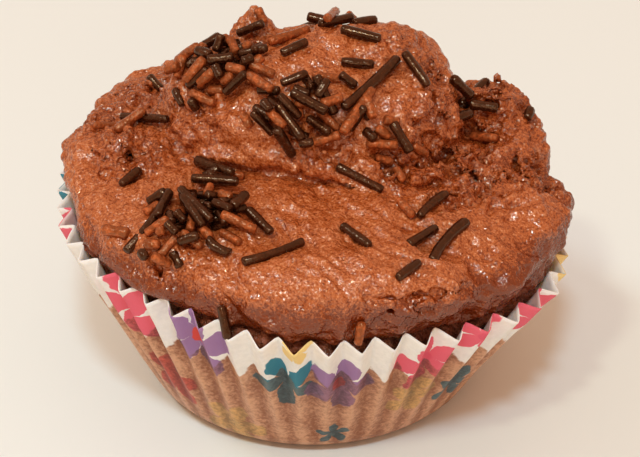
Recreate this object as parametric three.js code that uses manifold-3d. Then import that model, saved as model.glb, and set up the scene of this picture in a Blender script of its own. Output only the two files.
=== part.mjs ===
// A chocolate fairy cake: a pleated paper wrapper, the sponge baked in it, and a thick
// spread of frosting heaped into a mound, with chocolate strands pressed into it.
// Millimetres, +Z up. The origin is the middle of the wrapper's flat base; -Y is the front.
// Directions round the cake are angles from the front, positive towards +X.
import * as THREE from 'three';
import Module from 'manifold-3d';

const wasm = await Module();
wasm.setup();

const rad = THREE.MathUtils.degToRad;

// ---- Driving dimensions -------------------------------------------------------------

// Paper wrapper: a flat base, a rounded corner and a wall of zigzag pleats.
const PLEATS = 50;
const FIRST_FOLD = rad(-49.4);
const FOLD_RADIUS = 33; // at the rim, where a pleat folds in
const RIDGE_RADIUS = 34.8; // at the rim, where a pleat stands out
const RIDGE_HEIGHT = 24.9;
const FOLD_RISE = 1.2; // the folds reach this much higher than the ridges
const BASE_RADIUS = 18.7;
const BASE_ROUND = 5;
const PAPER = 0.35;
const GAP = 0.3; // air between neighbouring pieces

// The soft cup leans: its rim has moved, droops to the right and is not a true circle.
const RIM_SHIFT = [-0.6, 0.4];
const RIM_DROOP = 0.079; // lost height for each millimetre towards +X
const RIM_OVAL = 1.6;
const RIM_THIRDS = [-0.5, -0.6];
const RIM_WAVES = 6; // strongest at the front
const RIM_WAVE_DEPTH = 0.8;
const RIM_WAVE_START = rad(-34);

// Sponge: fills the cup to a low dome.
const DOME_TOP = 28.2;
const DOME_EDGE_RADIUS = 31;
const DOME_EDGE_HEIGHT = 24.6;
const SPONGE_SHOULDER = 0.9; // rounding where the dome meets the wall
const DOME_RINGS = [8, 16, 24]; // radii of the dome's inner rings of facets

// Frosting: the spread layer, a squared-off dome with a bulging edge.
const SPREAD_RADIUS = 32.4;
const SPREAD_TOP = 36.3;
const BULGE_HEIGHT = 28.8; // where the edge stands out most
const SPREAD_SQUARE = 3; // exponent of the superellipse
const SPREAD_FOOT_RADIUS = 30.4;
const SPREAD_FOOT_HEIGHT = 25.2;
const SPREAD_THICKNESS = [0.88, 0.13]; // mean, and how much the thick side adds
const THICK_SIDE = rad(60);
const EDGE_RIPPLES = [[5, 0.35, 1], [9, 0.25, 2.4]]; // waves round, depth, phase
const RIM_ROOM = [32.2, 26.5]; // frosting outside this radius stays above this height
const ROOM_GAP = 0.35; // air over the sponge's dome
const ROOM_REACH = 4; // the room kept for the cup goes this far outside it

// Heaps of frosting: middle [x, y, z] and half sizes [x, y, z].
const HEAPS = [
  [[1, 4, 36], [19, 15, 11.5]], // the mound
  [[8, 8, 39], [11, 9, 9]], // its high right shoulder
  [[-9, 7, 36.5], [12, 10, 8]], // its left flank
  [[23.5, 9, 34.5], [5.2, 5, 4]], // knobs down the right side
  [[26.7, 5, 30.7], [5.5, 7, 5]],
  [[26.5, -7, 29], [8, 9, 4.2]],
  [[-24.5, 0, 32], [9, 9, 4]], // the left bulge
  [[4, -27, 30.2], [17, 5.2, 4.2]], // the roll along the front
];

// Chocolate strands.
const STRAND_RADIUS = [0.58, 0.14]; // least, and how much a thick one adds
const STRAND_SIDES = 5;
const STEEPEST = 0.8; // rise of a strand laid by rule, for each millimetre of its length
const STRAND_SINK = 0.4; // part of the radius below the surface
const TIP_LENGTH = 0.35; // of the rounded end
const STACK_STEP = 0.2; // strands that would cross are tilted up in steps of this
const STACK_STEPS = 18;
const STACK_CONTACT = 0.85; // crossing strands press into each other a little
const NEAR_END = 0.35; // a crossing within this part of the length tilts that end only

// Strands that lie apart or show singly: x, y, heading in degrees, length, sideways bow.
const STRANDS = [
  [6, 1.3, 7, 4.6, 0], [7.8, -1.2, 52, 11, 0], [13.8, 3.1, -44, 5.7, 0.2], [1.4, -3.5, 62, 3.3, 0],
  [-0.3, -5.2, -28, 5.5, 0], [-2.9, -5.5, -47, 4.5, 0], [-2.8, -7, -49, 6, 0],
  [-6.4, -6.6, -44, 4.3, 0], [-3.5, -8.8, -45, 4.2, 0], [0.9, -7.8, -26, 3.5, 0],
  [4.8, -2.1, -38, 2.8, 0], [11.8, -6.5, -20, 4.8, 0], [6, -5.6, 54, 7.7, 0.2],
  [-4.6, -6.6, -47, 3.5, 0], [2.3, -7.4, -31, 3.4, 0], [2, -8.9, 13, 3.6, 0], [2.6, -5.2, 19, 3, 0],
  [9.2, -8.2, 13, 4.4, 0], [9.3, -7.2, -7, 2.4, 0], [6.6, 7.9, -36, 6.5, 0.2],
  [-7.8, 5.8, -4, 4.1, 0.5], [-2.3, 4.8, 41, 4.6, 0], [-9, 9.5, 30, 4.8, 0], [-13, 8, -60, 3, 0],
  [-12.3, 6.7, -21, 4.1, 0], [-10.1, -0.1, 34, 4, 0], [-17.7, 2.9, -66, 3.2, 0],
  [-15.7, 0.5, -64, 2.3, 0], [-6.8, -1.4, -48, 5.1, 0.3], [-8.6, -5.7, -57, 2.6, 0],
  [-6.6, 0.9, -45, 4.8, 0], [-3.2, 9.5, 30, 6.5, 0], [-15.7, 6.4, 54, 4.8, 0], [-14, 3.8, 37, 3.1, 0],
  [-10.1, 2.7, -48, 3.7, 0], [-14.5, 0.3, -51, 5.5, 0.3], [-23.8, -8.6, 55, 4.2, 0],
  [-21.1, -16.2, 57, 10.6, 0.7], [-12.8, -6, -35, 6.1, 0], [-12.7, -9.5, -8, 6.4, 0.3],
  [-15, -15.3, -60, 8.2, 0], [-15.3, -16.7, -67, 7.2, 0.3], [-9.3, -14.7, 60, 3.7, 0],
  [-6.7, -19.4, -58, 6.1, 0.5], [-11.7, -23.8, -41, 4.2, 0], [-4.8, -25.1, 22, 8.6, -0.7],
  [-17.3, -24.1, -59, 2.5, 0], [-9.3, -19.5, -38, 5.9, 0], [-11.2, -13.5, -33, 2.1, 0],
  [-25.3, -17.7, -34, 4.6, 0], [-15.7, -22, 9, 2.9, 0], [-19.2, -23.4, -37, 3, 0],
  [6.3, -11.3, -17, 6.8, 0], [5.7, -21.9, -45, 5.1, 0], [15.8, -14.4, 56, 6.8, -0.4],
  [14.2, -20.9, 45, 5.3, 0], [17.7, -20.7, 58, 9, -0.8], [12.2, -15.6, -61, 3.8, 0],
  [11.5, -9.2, -51, 2.3, 0], [14.3, -6, 26, 3.1, 0], [12.3, -26.1, 41, 3.8, 0], [-22.6, 5, -38, 8.9, 0],
  [21, 8, -45, 4.5, 0], [23.2, 6, -10, 3.9, 0], [20.5, 3.9, 50, 3.7, 0], [23.2, 3.3, -24, 4, 0],
  [-1, 13, 5, 4, 0], [6.5, 13, 40, 3.4, 0],
];

// Strands stuck to the steep front edge: direction, then the heights of both ends.
const EDGE_STRANDS = [[rad(-21), 31, 27.2], [rad(11), 30.2, 27]];
const EDGE_LEAN = 0.4; // their lower ends lie this much further in

// Heaped strands by rule: middle, half spread, heading in degrees, count, length range.
const CLUSTERS = [
  { middle: [-12.5, 4.5], spread: [6, 4], heading: 15, count: 12, length: [2.2, 4.4] },
  { middle: [0.5, -6.5], spread: [7, 3], heading: -40, count: 11, length: [2, 4.2] },
  { middle: [-16, -19], spread: [6, 5], heading: -30, count: 14, length: [2, 4.4] },
];
const CLUSTER_SCATTER = 150; // whole range of their headings, in degrees
const BACK_STRANDS = { count: 24, reach: [8, 27], side: rad(180), width: rad(85), length: [2.4, 6.5] };
const SEED = 20417;

// Facets.
const SPREAD_COLUMNS = 50;
const SPREAD_ROWS = 8;
const FOOT_ROWS = 2;
const HEAP_COLUMNS = 16;
const HEAP_ROWS = 8;
const SPONGE_COLUMNS = 50;
const CORNER_ROWS = 2;
const WALL_ROWS = 2;
const LEAN_PASSES = 40; // rounds of closing in on the wall's lean

// ---- Finishes -----------------------------------------------------------------------

const paperFinish = new THREE.MeshStandardMaterial({ color: 0xe9dfcd, roughness: 0.85, metalness: 0 });
const spongeFinish = new THREE.MeshStandardMaterial({ color: 0x3a1a0e, roughness: 0.6, metalness: 0 });
const frostingFinish = new THREE.MeshStandardMaterial({ color: 0x8f4a33, roughness: 0.45, metalness: 0 });

// ---- Shared geometry ----------------------------------------------------------------

/** How far the rim stands out from a true circle in a direction. */
function rimGrowth(angle) {
  const thirds = RIM_THIRDS[0] * Math.cos(3 * angle) + RIM_THIRDS[1] * Math.sin(3 * angle);
  const waves = RIM_WAVE_DEPTH * Math.cos(RIM_WAVES * (angle - RIM_WAVE_START));
  const frontShare = (3 + 2 * Math.cos(angle)) / 5;
  return RIM_OVAL * Math.sin(2 * angle) + thirds - waves * frontShare;
}

/** Takes a point of the true round cup to where it is in the leaning, drooping one. */
function settle(point) {
  const share = THREE.MathUtils.clamp(point.z / RIDGE_HEIGHT, 0, 1);
  const radius = Math.hypot(point.x, point.y);
  const reach = Math.min(radius / FOLD_RADIUS, 1);
  const growth = share * reach * reach * rimGrowth(Math.atan2(point.x, -point.y));
  const scale = 1 + growth / Math.max(radius, 1e-6);
  return new THREE.Vector3(
    point.x * scale + RIM_SHIFT[0] * share,
    point.y * scale + RIM_SHIFT[1] * share,
    point.z - RIM_DROOP * point.x * share,
  );
}

/** The point at a radius and height in a direction. */
function around(angle, radius, height) {
  return new THREE.Vector3(radius * Math.sin(angle), -radius * Math.cos(angle), height);
}

/** A ring of points; shape(angle, column) gives each one's radius and height. */
function ring(columns, shape, start = 0) {
  const points = [];
  for (let column = 0; column < columns; column += 1) {
    const angle = start + (2 * Math.PI * column) / columns;
    const [radius, height] = shape(angle, column);
    points.push(around(angle, radius, height));
  }
  return points;
}

/** The middle of a ring. */
function centre(points) {
  const sum = new THREE.Vector3();
  for (const point of points) sum.add(point);
  return sum.divideScalar(points.length);
}

/**
 * A closed skin over rings of equal size, shut by a point at each end. Going from ring
 * to ring, the outside is on the left of a half section drawn with the axis at its left.
 */
function skin(rings, firstPoint = centre(rings[0]), lastPoint = centre(rings[rings.length - 1])) {
  const columns = rings[0].length;
  const points = rings.flat();
  const triangles = [];
  for (let row = 0; row + 1 < rings.length; row += 1) {
    for (let column = 0; column < columns; column += 1) {
      const a = row * columns + column;
      const b = row * columns + ((column + 1) % columns);
      triangles.push([a, a + columns, b + columns], [a, b + columns, b]);
    }
  }
  const first = points.length;
  const lastRow = (rings.length - 1) * columns;
  points.push(firstPoint, lastPoint);
  for (let column = 0; column < columns; column += 1) {
    const next = (column + 1) % columns;
    triangles.push([first, column, next], [first + 1, lastRow + next, lastRow + column]);
  }
  return { points, triangles };
}

/** The same skin with every point settled into the leaning cup. */
function settled(shape) {
  return { points: shape.points.map(settle), triangles: shape.triangles };
}

/** A solid that can be joined and cut. */
function solid(shape) {
  const vertProperties = new Float32Array(shape.points.flatMap((point) => point.toArray()));
  const triVerts = new Uint32Array(shape.triangles.flat());
  return new wasm.Manifold(new wasm.Mesh({ numProp: 3, vertProperties, triVerts }));
}

/** A named mesh of a solid. */
function mesh(name, body, finish) {
  const data = body.getMesh();
  const geometry = new THREE.BufferGeometry();
  geometry.setAttribute('position', new THREE.BufferAttribute(data.vertProperties, 3));
  geometry.setIndex(new THREE.BufferAttribute(data.triVerts, 1));
  geometry.computeVertexNormals();
  const result = new THREE.Mesh(geometry, finish);
  result.name = name;
  return result;
}

// ---- Wrapper and sponge -------------------------------------------------------------

/** How far a straight wall leans from upright, as it leaves the rounded corner. */
function wallLean(rimRadius, rimHeight) {
  let lean = 0;
  for (let pass = 0; pass < LEAN_PASSES; pass += 1) {
    const radius = BASE_RADIUS + BASE_ROUND * Math.cos(lean);
    const height = BASE_ROUND * (1 - Math.sin(lean));
    lean = Math.atan((rimRadius - radius) / (rimHeight - height));
  }
  return lean;
}

/** The cup's half section from base to rim, moved inwards by inset, as [radius, height]. */
function cupSection(rimRadius, rimHeight, inset, topHeight = rimHeight) {
  const lean = wallLean(rimRadius, rimHeight);
  const round = BASE_ROUND - inset;
  const section = [];
  for (let row = 0; row <= CORNER_ROWS; row += 1) {
    const turn = Math.PI / 2 + ((lean - Math.PI / 2) * row) / CORNER_ROWS;
    section.push([BASE_RADIUS + round * Math.cos(turn), BASE_ROUND - round * Math.sin(turn)]);
  }
  const [cornerRadius, cornerHeight] = section[CORNER_ROWS];
  const rise = topHeight + inset * Math.sin(lean) - cornerHeight;
  for (let row = 1; row <= WALL_ROWS; row += 1) {
    const climb = (rise * row) / WALL_ROWS;
    section.push([cornerRadius + climb * Math.tan(lean), cornerHeight + climb]);
  }
  return section;
}

/** The pleated cup: its inner face from the middle up, then its outer face back down. */
function buildWrapper() {
  const rings = [];
  const addFace = (inset, downwards) => {
    const fold = cupSection(FOLD_RADIUS, RIDGE_HEIGHT + FOLD_RISE, inset);
    const ridge = cupSection(RIDGE_RADIUS, RIDGE_HEIGHT, inset);
    const face = fold.map((_, row) => ring(
      2 * PLEATS,
      (angle, column) => (column % 2 === 0 ? fold[row] : ridge[row]),
      FIRST_FOLD,
    ));
    rings.push(...(downwards ? face.reverse() : face));
  };
  addFace(PAPER, false);
  addFace(0, true);
  return solid(settled(skin(rings)));
}

/** Height of the sponge's dome at a radius. */
function domeHeight(radius) {
  const share = radius / DOME_EDGE_RADIUS;
  return DOME_TOP - (DOME_TOP - DOME_EDGE_HEIGHT) * share * share;
}

/** The sponge: its dome, then its side down along the folds, then its base. */
function buildSponge() {
  const inset = PAPER + GAP;
  const sideTop = DOME_EDGE_HEIGHT - 2 * SPONGE_SHOULDER;
  const side = cupSection(FOLD_RADIUS, RIDGE_HEIGHT + FOLD_RISE, inset, sideTop);
  const edgeRadius = side[side.length - 1][0];
  const dome = [...DOME_RINGS, edgeRadius - SPONGE_SHOULDER].map((radius) => [radius, domeHeight(radius)]);
  const shoulder = [edgeRadius, DOME_EDGE_HEIGHT - SPONGE_SHOULDER];
  const section = [...dome, shoulder, ...side.reverse()];
  const rings = section.map((spot) => ring(SPONGE_COLUMNS, () => spot));
  const top = new THREE.Vector3(0, 0, DOME_TOP);
  return solid(settled(skin(rings, top)));
}

// ---- Frosting -----------------------------------------------------------------------

/** The spread layer: a superellipse over the bulge, and a quarter round under it. */
function buildSpread() {
  const section = [];
  for (let row = 1; row <= SPREAD_ROWS; row += 1) {
    const turn = (Math.PI / 2) * (1 - row / SPREAD_ROWS);
    const out = Math.max(Math.cos(turn), 0) ** (2 / SPREAD_SQUARE);
    const up = Math.max(Math.sin(turn), 0) ** (2 / SPREAD_SQUARE);
    section.push([SPREAD_RADIUS * out, BULGE_HEIGHT + (SPREAD_TOP - BULGE_HEIGHT) * up]);
  }
  for (let row = 1; row <= FOOT_ROWS; row += 1) {
    const turn = ((Math.PI / 2) * row) / FOOT_ROWS;
    const radius = SPREAD_FOOT_RADIUS + (SPREAD_RADIUS - SPREAD_FOOT_RADIUS) * Math.cos(turn);
    section.push([radius, BULGE_HEIGHT - (BULGE_HEIGHT - SPREAD_FOOT_HEIGHT) * Math.sin(turn)]);
  }
  const [mean, extra] = SPREAD_THICKNESS;
  const rings = section.map(([radius, height]) => ring(SPREAD_COLUMNS, (angle) => {
    const thickness = mean + extra * Math.cos(angle - THICK_SIDE);
    let ripple = 0;
    for (const [waves, depth, phase] of EDGE_RIPPLES) ripple += depth * Math.sin(waves * angle + phase);
    const out = radius + ripple * (radius / SPREAD_RADIUS) ** 4;
    return [out, SPREAD_FOOT_HEIGHT + (height - SPREAD_FOOT_HEIGHT) * thickness];
  }));
  const top = new THREE.Vector3(0, 0, SPREAD_FOOT_HEIGHT + (SPREAD_TOP - SPREAD_FOOT_HEIGHT) * mean);
  return solid(settled(skin(rings, top)));
}

/** One heap: an ellipsoid. */
function buildHeap([middle, half]) {
  const size = new THREE.Vector3(...half);
  const place = (point) => point.multiply(size).add(new THREE.Vector3(...middle));
  const rings = [];
  for (let row = 1; row < HEAP_ROWS; row += 1) {
    const turn = (Math.PI * row) / HEAP_ROWS;
    rings.push(ring(HEAP_COLUMNS, () => [Math.sin(turn), Math.cos(turn)]).map(place));
  }
  return solid(skin(rings, place(around(0, 0, 1)), place(around(0, 0, -1))));
}

/** The room that the sponge and the paper rim keep clear of frosting. */
function buildCupRoom() {
  const [rimRadius, rimHeight] = RIM_ROOM;
  const outside = RIDGE_RADIUS + ROOM_REACH;
  const bottom = BASE_ROUND;
  const dome = [...DOME_RINGS, SPREAD_FOOT_RADIUS].map((radius) => [radius, domeHeight(radius) + ROOM_GAP]);
  const ledge = [[rimRadius, DOME_EDGE_HEIGHT + 2 * GAP], [rimRadius, rimHeight], [outside, rimHeight]];
  const section = [...dome, ...ledge, [outside, bottom], [DOME_RINGS[0], bottom]];
  const rings = section.map((spot) => ring(SPONGE_COLUMNS, () => spot));
  return solid(settled(skin(rings, new THREE.Vector3(0, 0, DOME_TOP + ROOM_GAP))));
}

/** A function that gives the height of a body's upper face at x, y. */
function heightFinder(body) {
  const { vertProperties, triVerts } = body.getMesh();
  const corner = (index) => Array.from(vertProperties.subarray(3 * index, 3 * index + 3));
  const faces = [];
  for (let at = 0; at < triVerts.length; at += 3) faces.push([0, 1, 2].map((k) => corner(triVerts[at + k])));
  return (x, y) => {
    let best = -Infinity;
    for (const [a, b, c] of faces) {
      const area = (b[0] - a[0]) * (c[1] - a[1]) - (c[0] - a[0]) * (b[1] - a[1]);
      if (area <= 0) continue;
      const u = ((b[0] - x) * (c[1] - y) - (c[0] - x) * (b[1] - y)) / area;
      const v = ((c[0] - x) * (a[1] - y) - (a[0] - x) * (c[1] - y)) / area;
      const w = 1 - u - v;
      if (u >= 0 && v >= 0 && w >= 0) best = Math.max(best, u * a[2] + v * b[2] + w * c[2]);
    }
    return best;
  };
}

// ---- Chocolate strands --------------------------------------------------------------

/** Seeded random numbers from 0 to 1. */
function makeDice(seed) {
  let state = seed;
  return () => {
    state = (state * 1664525 + 1013904223) % 4294967296;
    return state / 4294967296;
  };
}

/** The shortest way between two straight strands, and where along the first it starts. */
function closest(first, second) {
  const d1 = first.end.clone().sub(first.start);
  const d2 = second.end.clone().sub(second.start);
  const r = first.start.clone().sub(second.start);
  const [a, e, b] = [d1.dot(d1), d2.dot(d2), d1.dot(d2)];
  const [c, f] = [d1.dot(r), d2.dot(r)];
  const denominator = a * e - b * b;
  let s = denominator > 1e-9 ? THREE.MathUtils.clamp((b * f - c * e) / denominator, 0, 1) : 0.5;
  const t = THREE.MathUtils.clamp((b * s + f) / e, 0, 1);
  s = THREE.MathUtils.clamp((b * t - c) / a, 0, 1);
  const from = first.start.clone().addScaledVector(d1, s);
  const to = second.start.clone().addScaledVector(d2, t);
  return { distance: from.distanceTo(to), along: s };
}

/** Tilts a new strand up, end by end, until it lies on the ones already there. */
function rest(strand, placed) {
  for (let step = 0; step < STACK_STEPS; step += 1) {
    let moved = false;
    for (const other of placed) {
      const { distance, along } = closest(strand, other);
      if (distance >= STACK_CONTACT * (strand.radius + other.radius)) continue;
      if (along < 1 - NEAR_END) strand.start.z += STACK_STEP;
      if (along > NEAR_END) strand.end.z += STACK_STEP;
      moved = true;
      break;
    }
    if (!moved) return;
  }
}

/** Lays every strand on the frosting and returns their axes. */
function layStrands(heightAt) {
  const dice = makeDice(SEED);
  const between = ([low, high]) => low + (high - low) * dice();
  const placed = [];
  const lay = (x, y, heading, length, bow) => {
    const radius = STRAND_RADIUS[0] + STRAND_RADIUS[1] * dice();
    const half = length / 2 - TIP_LENGTH;
    const along = new THREE.Vector2(Math.cos(heading), Math.sin(heading)).multiplyScalar(half);
    const ends = [-1, 1].map((side) => new THREE.Vector3(x + side * along.x, y + side * along.y, 0));
    for (const end of ends) end.z = heightAt(end.x, end.y) + radius * (1 - STRAND_SINK);
    if (Math.abs(ends[1].z - ends[0].z) > STEEPEST * length) return;
    const strand = { start: ends[0], end: ends[1], radius, bow };
    rest(strand, placed);
    placed.push(strand);
  };
  for (const [x, y, heading, length, bow] of STRANDS) lay(x, y, rad(heading), length, bow);
  for (const { middle, spread, heading, count, length } of CLUSTERS) {
    for (let strand = 0; strand < count; strand += 1) {
      const x = middle[0] + spread[0] * (dice() + dice() - 1);
      const y = middle[1] + spread[1] * (dice() + dice() - 1);
      lay(x, y, rad(heading + CLUSTER_SCATTER * (dice() - 0.5)), between(length), 0);
    }
  }
  for (let strand = 0; strand < BACK_STRANDS.count; strand += 1) {
    const angle = BACK_STRANDS.side + BACK_STRANDS.width * (2 * dice() - 1);
    const spot = around(angle, between(BACK_STRANDS.reach), 0);
    lay(spot.x, spot.y, Math.PI * dice(), between(BACK_STRANDS.length), 0);
  }
  for (const [angle, high, low] of EDGE_STRANDS) {
    const [radius] = STRAND_RADIUS;
    const start = settle(around(angle, SPREAD_RADIUS, high));
    const end = settle(around(angle, SPREAD_RADIUS - EDGE_LEAN, low));
    placed.push({ start, end, radius, bow: 0 });
  }
  return placed;
}

/** A strand: a thin prism with pointed ends, bowed sideways where the real one is. */
function buildStrand({ start, end, radius, bow }) {
  const axis = end.clone().sub(start).normalize();
  const side = new THREE.Vector3(-axis.y, axis.x, 0).normalize();
  const up = axis.clone().cross(side).normalize();
  const stops = bow === 0 ? [0, 1] : [0, 0.5, 1];
  const rings = stops.map((stop) => {
    const middle = start.clone().lerp(end, stop).addScaledVector(side, 4 * bow * stop * (1 - stop));
    const points = [];
    for (let corner = 0; corner < STRAND_SIDES; corner += 1) {
      const turn = (2 * Math.PI * corner) / STRAND_SIDES;
      const point = middle.clone().addScaledVector(side, radius * Math.cos(turn));
      points.push(point.addScaledVector(up, -radius * Math.sin(turn)));
    }
    return points;
  });
  const firstTip = start.clone().addScaledVector(axis, -TIP_LENGTH);
  const lastTip = end.clone().addScaledVector(axis, TIP_LENGTH);
  return solid(skin(rings, firstTip, lastTip));
}

/** Everything brown on top: spread, heaps and strands in one body, clear of the cup. */
function buildFrosting() {
  let body = buildSpread();
  for (const heap of HEAPS) body = body.add(buildHeap(heap));
  const strands = layStrands(heightFinder(body));
  for (const strand of strands) body = body.add(buildStrand(strand));
  body = body.subtract(buildCupRoom());
  const pieces = body.decompose();
  return pieces.reduce((largest, piece) => (piece.volume() > largest.volume() ? piece : largest));
}

// ---- The cake -----------------------------------------------------------------------

const cake = new THREE.Group();
cake.add(mesh('wrapper', buildWrapper(), paperFinish));
cake.add(mesh('sponge', buildSponge(), spongeFinish));
cake.add(mesh('frosting', buildFrosting(), frostingFinish));

export default cake;
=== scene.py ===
"""A chocolate cupcake: pleated paper wrapper, dark sponge, heaped frosting and strands.

Sizes inside the shape functions are millimetres, as in the solids, and become metres when a
mesh is made. Directions round the cake are angles from the front (-Y), positive towards +X.
"""

import math

import bpy
import numpy as np
from bpy.props import FloatProperty, FloatVectorProperty, IntProperty, PointerProperty
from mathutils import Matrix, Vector
from mathutils.bvhtree import BVHTree


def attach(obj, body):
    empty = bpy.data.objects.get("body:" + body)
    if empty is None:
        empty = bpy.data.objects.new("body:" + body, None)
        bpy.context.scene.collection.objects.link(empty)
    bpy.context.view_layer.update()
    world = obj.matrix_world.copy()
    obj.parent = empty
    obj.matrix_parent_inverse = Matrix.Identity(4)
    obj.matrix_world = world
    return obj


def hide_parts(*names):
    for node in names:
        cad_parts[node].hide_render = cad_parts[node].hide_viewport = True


bl_info = {
    "name": "Chocolate Cupcake",
    "version": (1, 0, 0),
    "blender": (4, 5, 0),
    "location": "3D View > Sidebar > Cupcake",
    "description": "Dresses a frosted chocolate cupcake in a pleated paper wrapper",
    "category": "Add Mesh",
}

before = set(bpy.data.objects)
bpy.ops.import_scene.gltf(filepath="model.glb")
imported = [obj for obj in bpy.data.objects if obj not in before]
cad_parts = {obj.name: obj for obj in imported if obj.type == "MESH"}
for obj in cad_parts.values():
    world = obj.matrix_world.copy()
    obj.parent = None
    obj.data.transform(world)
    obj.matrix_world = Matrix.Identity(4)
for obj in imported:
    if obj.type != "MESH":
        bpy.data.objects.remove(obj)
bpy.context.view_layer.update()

MM = 0.001
TAU = 2 * math.pi

# ---- Forms shared with the solids, in millimetres ------------------------------------

FIRST_FOLD = math.radians(-49.4)
RIDGE_HEIGHT = 24.9
FOLD_RISE = 1.2
BASE_RADIUS = 18.7
BASE_ROUND = 5.0
RIM_SHIFT = (-0.6, 0.4)
RIM_DROOP = 0.079
RIM_OVAL = 1.6
RIM_THIRDS = (-0.5, -0.6)
RIM_WAVES = 6
RIM_WAVE_DEPTH = 0.8
RIM_WAVE_START = math.radians(-34)
FOLD_RADIUS = 33.0

DOME_TOP = 28.2
DOME_EDGE_RADIUS = 31.0
DOME_EDGE_HEIGHT = 24.6
SPONGE_SHOULDER = 0.9
SPONGE_INSET = 0.65

SPREAD_RADIUS = 32.4
SPREAD_TOP = 36.3
BULGE_HEIGHT = 28.8
SPREAD_SQUARE = 3
SPREAD_FOOT_RADIUS = 30.4
FULL_FOOT_RADIUS = 32.39  # where the frosting reaches down to the paper
FULL_FEET = ((-62, 42), (60, 46))  # middle and half width of those stretches, in degrees
FEET_FADE = 12  # degrees over which they begin and end
SPREAD_FOOT_HEIGHT = 25.2
SPREAD_THICKNESS = (0.88, 0.13)
THICK_SIDE = math.radians(60)
EDGE_RIPPLES = ((5, 0.35, 1.0), (9, 0.25, 2.4))
RIM_ROOM = (32.6, 25.7)

# Heaps of frosting: middle, half sizes, and how softly each joins the rest.
HEAPS = (
    ((1, 4.6, 36), (19, 13.8, 11.5), 1.2),
    ((8, 8, 39), (11, 9, 9), 2.5),
    ((-9, 7, 36.5), (12, 10, 8), 2.5),
    ((23.5, 9, 34.5), (5.2, 5, 4), 1.0),
    ((26.7, 5, 30.7), (5.5, 7, 5), 1.0),
    ((26.5, -7, 29), (8, 9, 4.2), 2.5),
    ((-24.5, 0, 32), (9, 9, 4), 2.5),
    ((4, -27, 30.2), (17, 5.2, 4.2), 2.5),
    ((20.3, -17.2, 28.0), (9, 8, 3.2), 2.0),
    ((12.5, -22.5, 28.2), (8, 8.2, 3.2), 2.0),
    ((-16.3, -18.6, 28.4), (8.5, 8.5, 3.2), 2.0),
)

# Ridges and lips that stand on the frosting: points of a line, radius at both ends, blend.
RIDGES = (
    (((-14.1, -4.9, 36.2), (-10.1, -6.3, 36.8), (-6.5, -7.6, 37.4), (-1.5, -9.0, 37.4), (2.5, -9.8, 36.9),
      (6.8, -10.2, 36.0)), 1.1, 1.3, 1.2),  # the mound's overhanging front lip
    (((6.3, -9.5, 37.6), (8.6, -9.2, 37.0), (9.6, -10.2, 35.8), (8.0, -11.6, 35.1)), 1.3, 0.9, 1.0),
    (((13.0, 0.8, 43.8), (14.4, -1.6, 43.0), (14.6, -3.4, 41.8), (13.2, -5.4, 40.2), (12.0, -6.9, 39.0)),
     1.0, 0.8, 0.8),  # torn edge of the smooth slab
    (((11.5, -10.2, 35.0), (17.0, -6.8, 35.0), (22.6, -2.5, 34.2), (27.9, 0.4, 33.4)), 0.9, 1.3, 0.8),
    (((9.5, -15.4, 34.6), (14.1, -12.9, 34.4), (18.8, -10.2, 33.9), (25.1, -6.4, 33.0)), 0.6, 1.0, 0.8),
    (((15.4, -15.0, 33.7), (20.1, -12.2, 33.2), (24.8, -9.6, 32.8), (29.1, -6.1, 31.8)), 0.5, 0.9, 0.8),
    (((21.0, 8.5, 37.6), (24.0, 7.5, 37.8), (26.6, 6.5, 36.6)), 1.2, 1.4, 0.8),
    (((11.3, -31.3, 29.6), (12.2, -31.3, 30.7), (13.8, -31.0, 30.9), (15.2, -30.6, 30.5),
      (15.8, -30.0, 29.4)), 0.35, 0.3, 0.15),  # thin curls at the front edge
    (((16.1, -30.4, 30.2), (17.7, -30.0, 30.6), (19.6, -28.8, 29.8), (20.8, -27.8, 28.6)), 0.4, 0.3, 0.15),
    (((-22.8, 15.3, 33.9), (-22.4, 16.9, 34.6)), 1.1, 0.9, 0.8),
    (((-24.6, 13.7, 33.6), (-24.9, 12.0, 33.9)), 0.9, 0.7, 0.8),
    (((19.8, -11.4, 34.2), (19.9, -11.3, 34.4)), 0.7, 0.6, 0.2),
    (((23.2, -12.5, 33.5), (23.5, -12.4, 33.7)), 0.6, 0.6, 0.2),
    (((-10.4, 9.6, 43.8), (-9.2, 10.6, 46.2), (-7.6, 11.4, 48.9)), 2.0, 0.8, 1.0),  # a peak on the mound
    (((-7.6, 11.4, 48.7), (-6.4, 11.0, 46.6), (-5.6, 10.2, 44.6)), 0.8, 1.8, 0.8),
)

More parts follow.
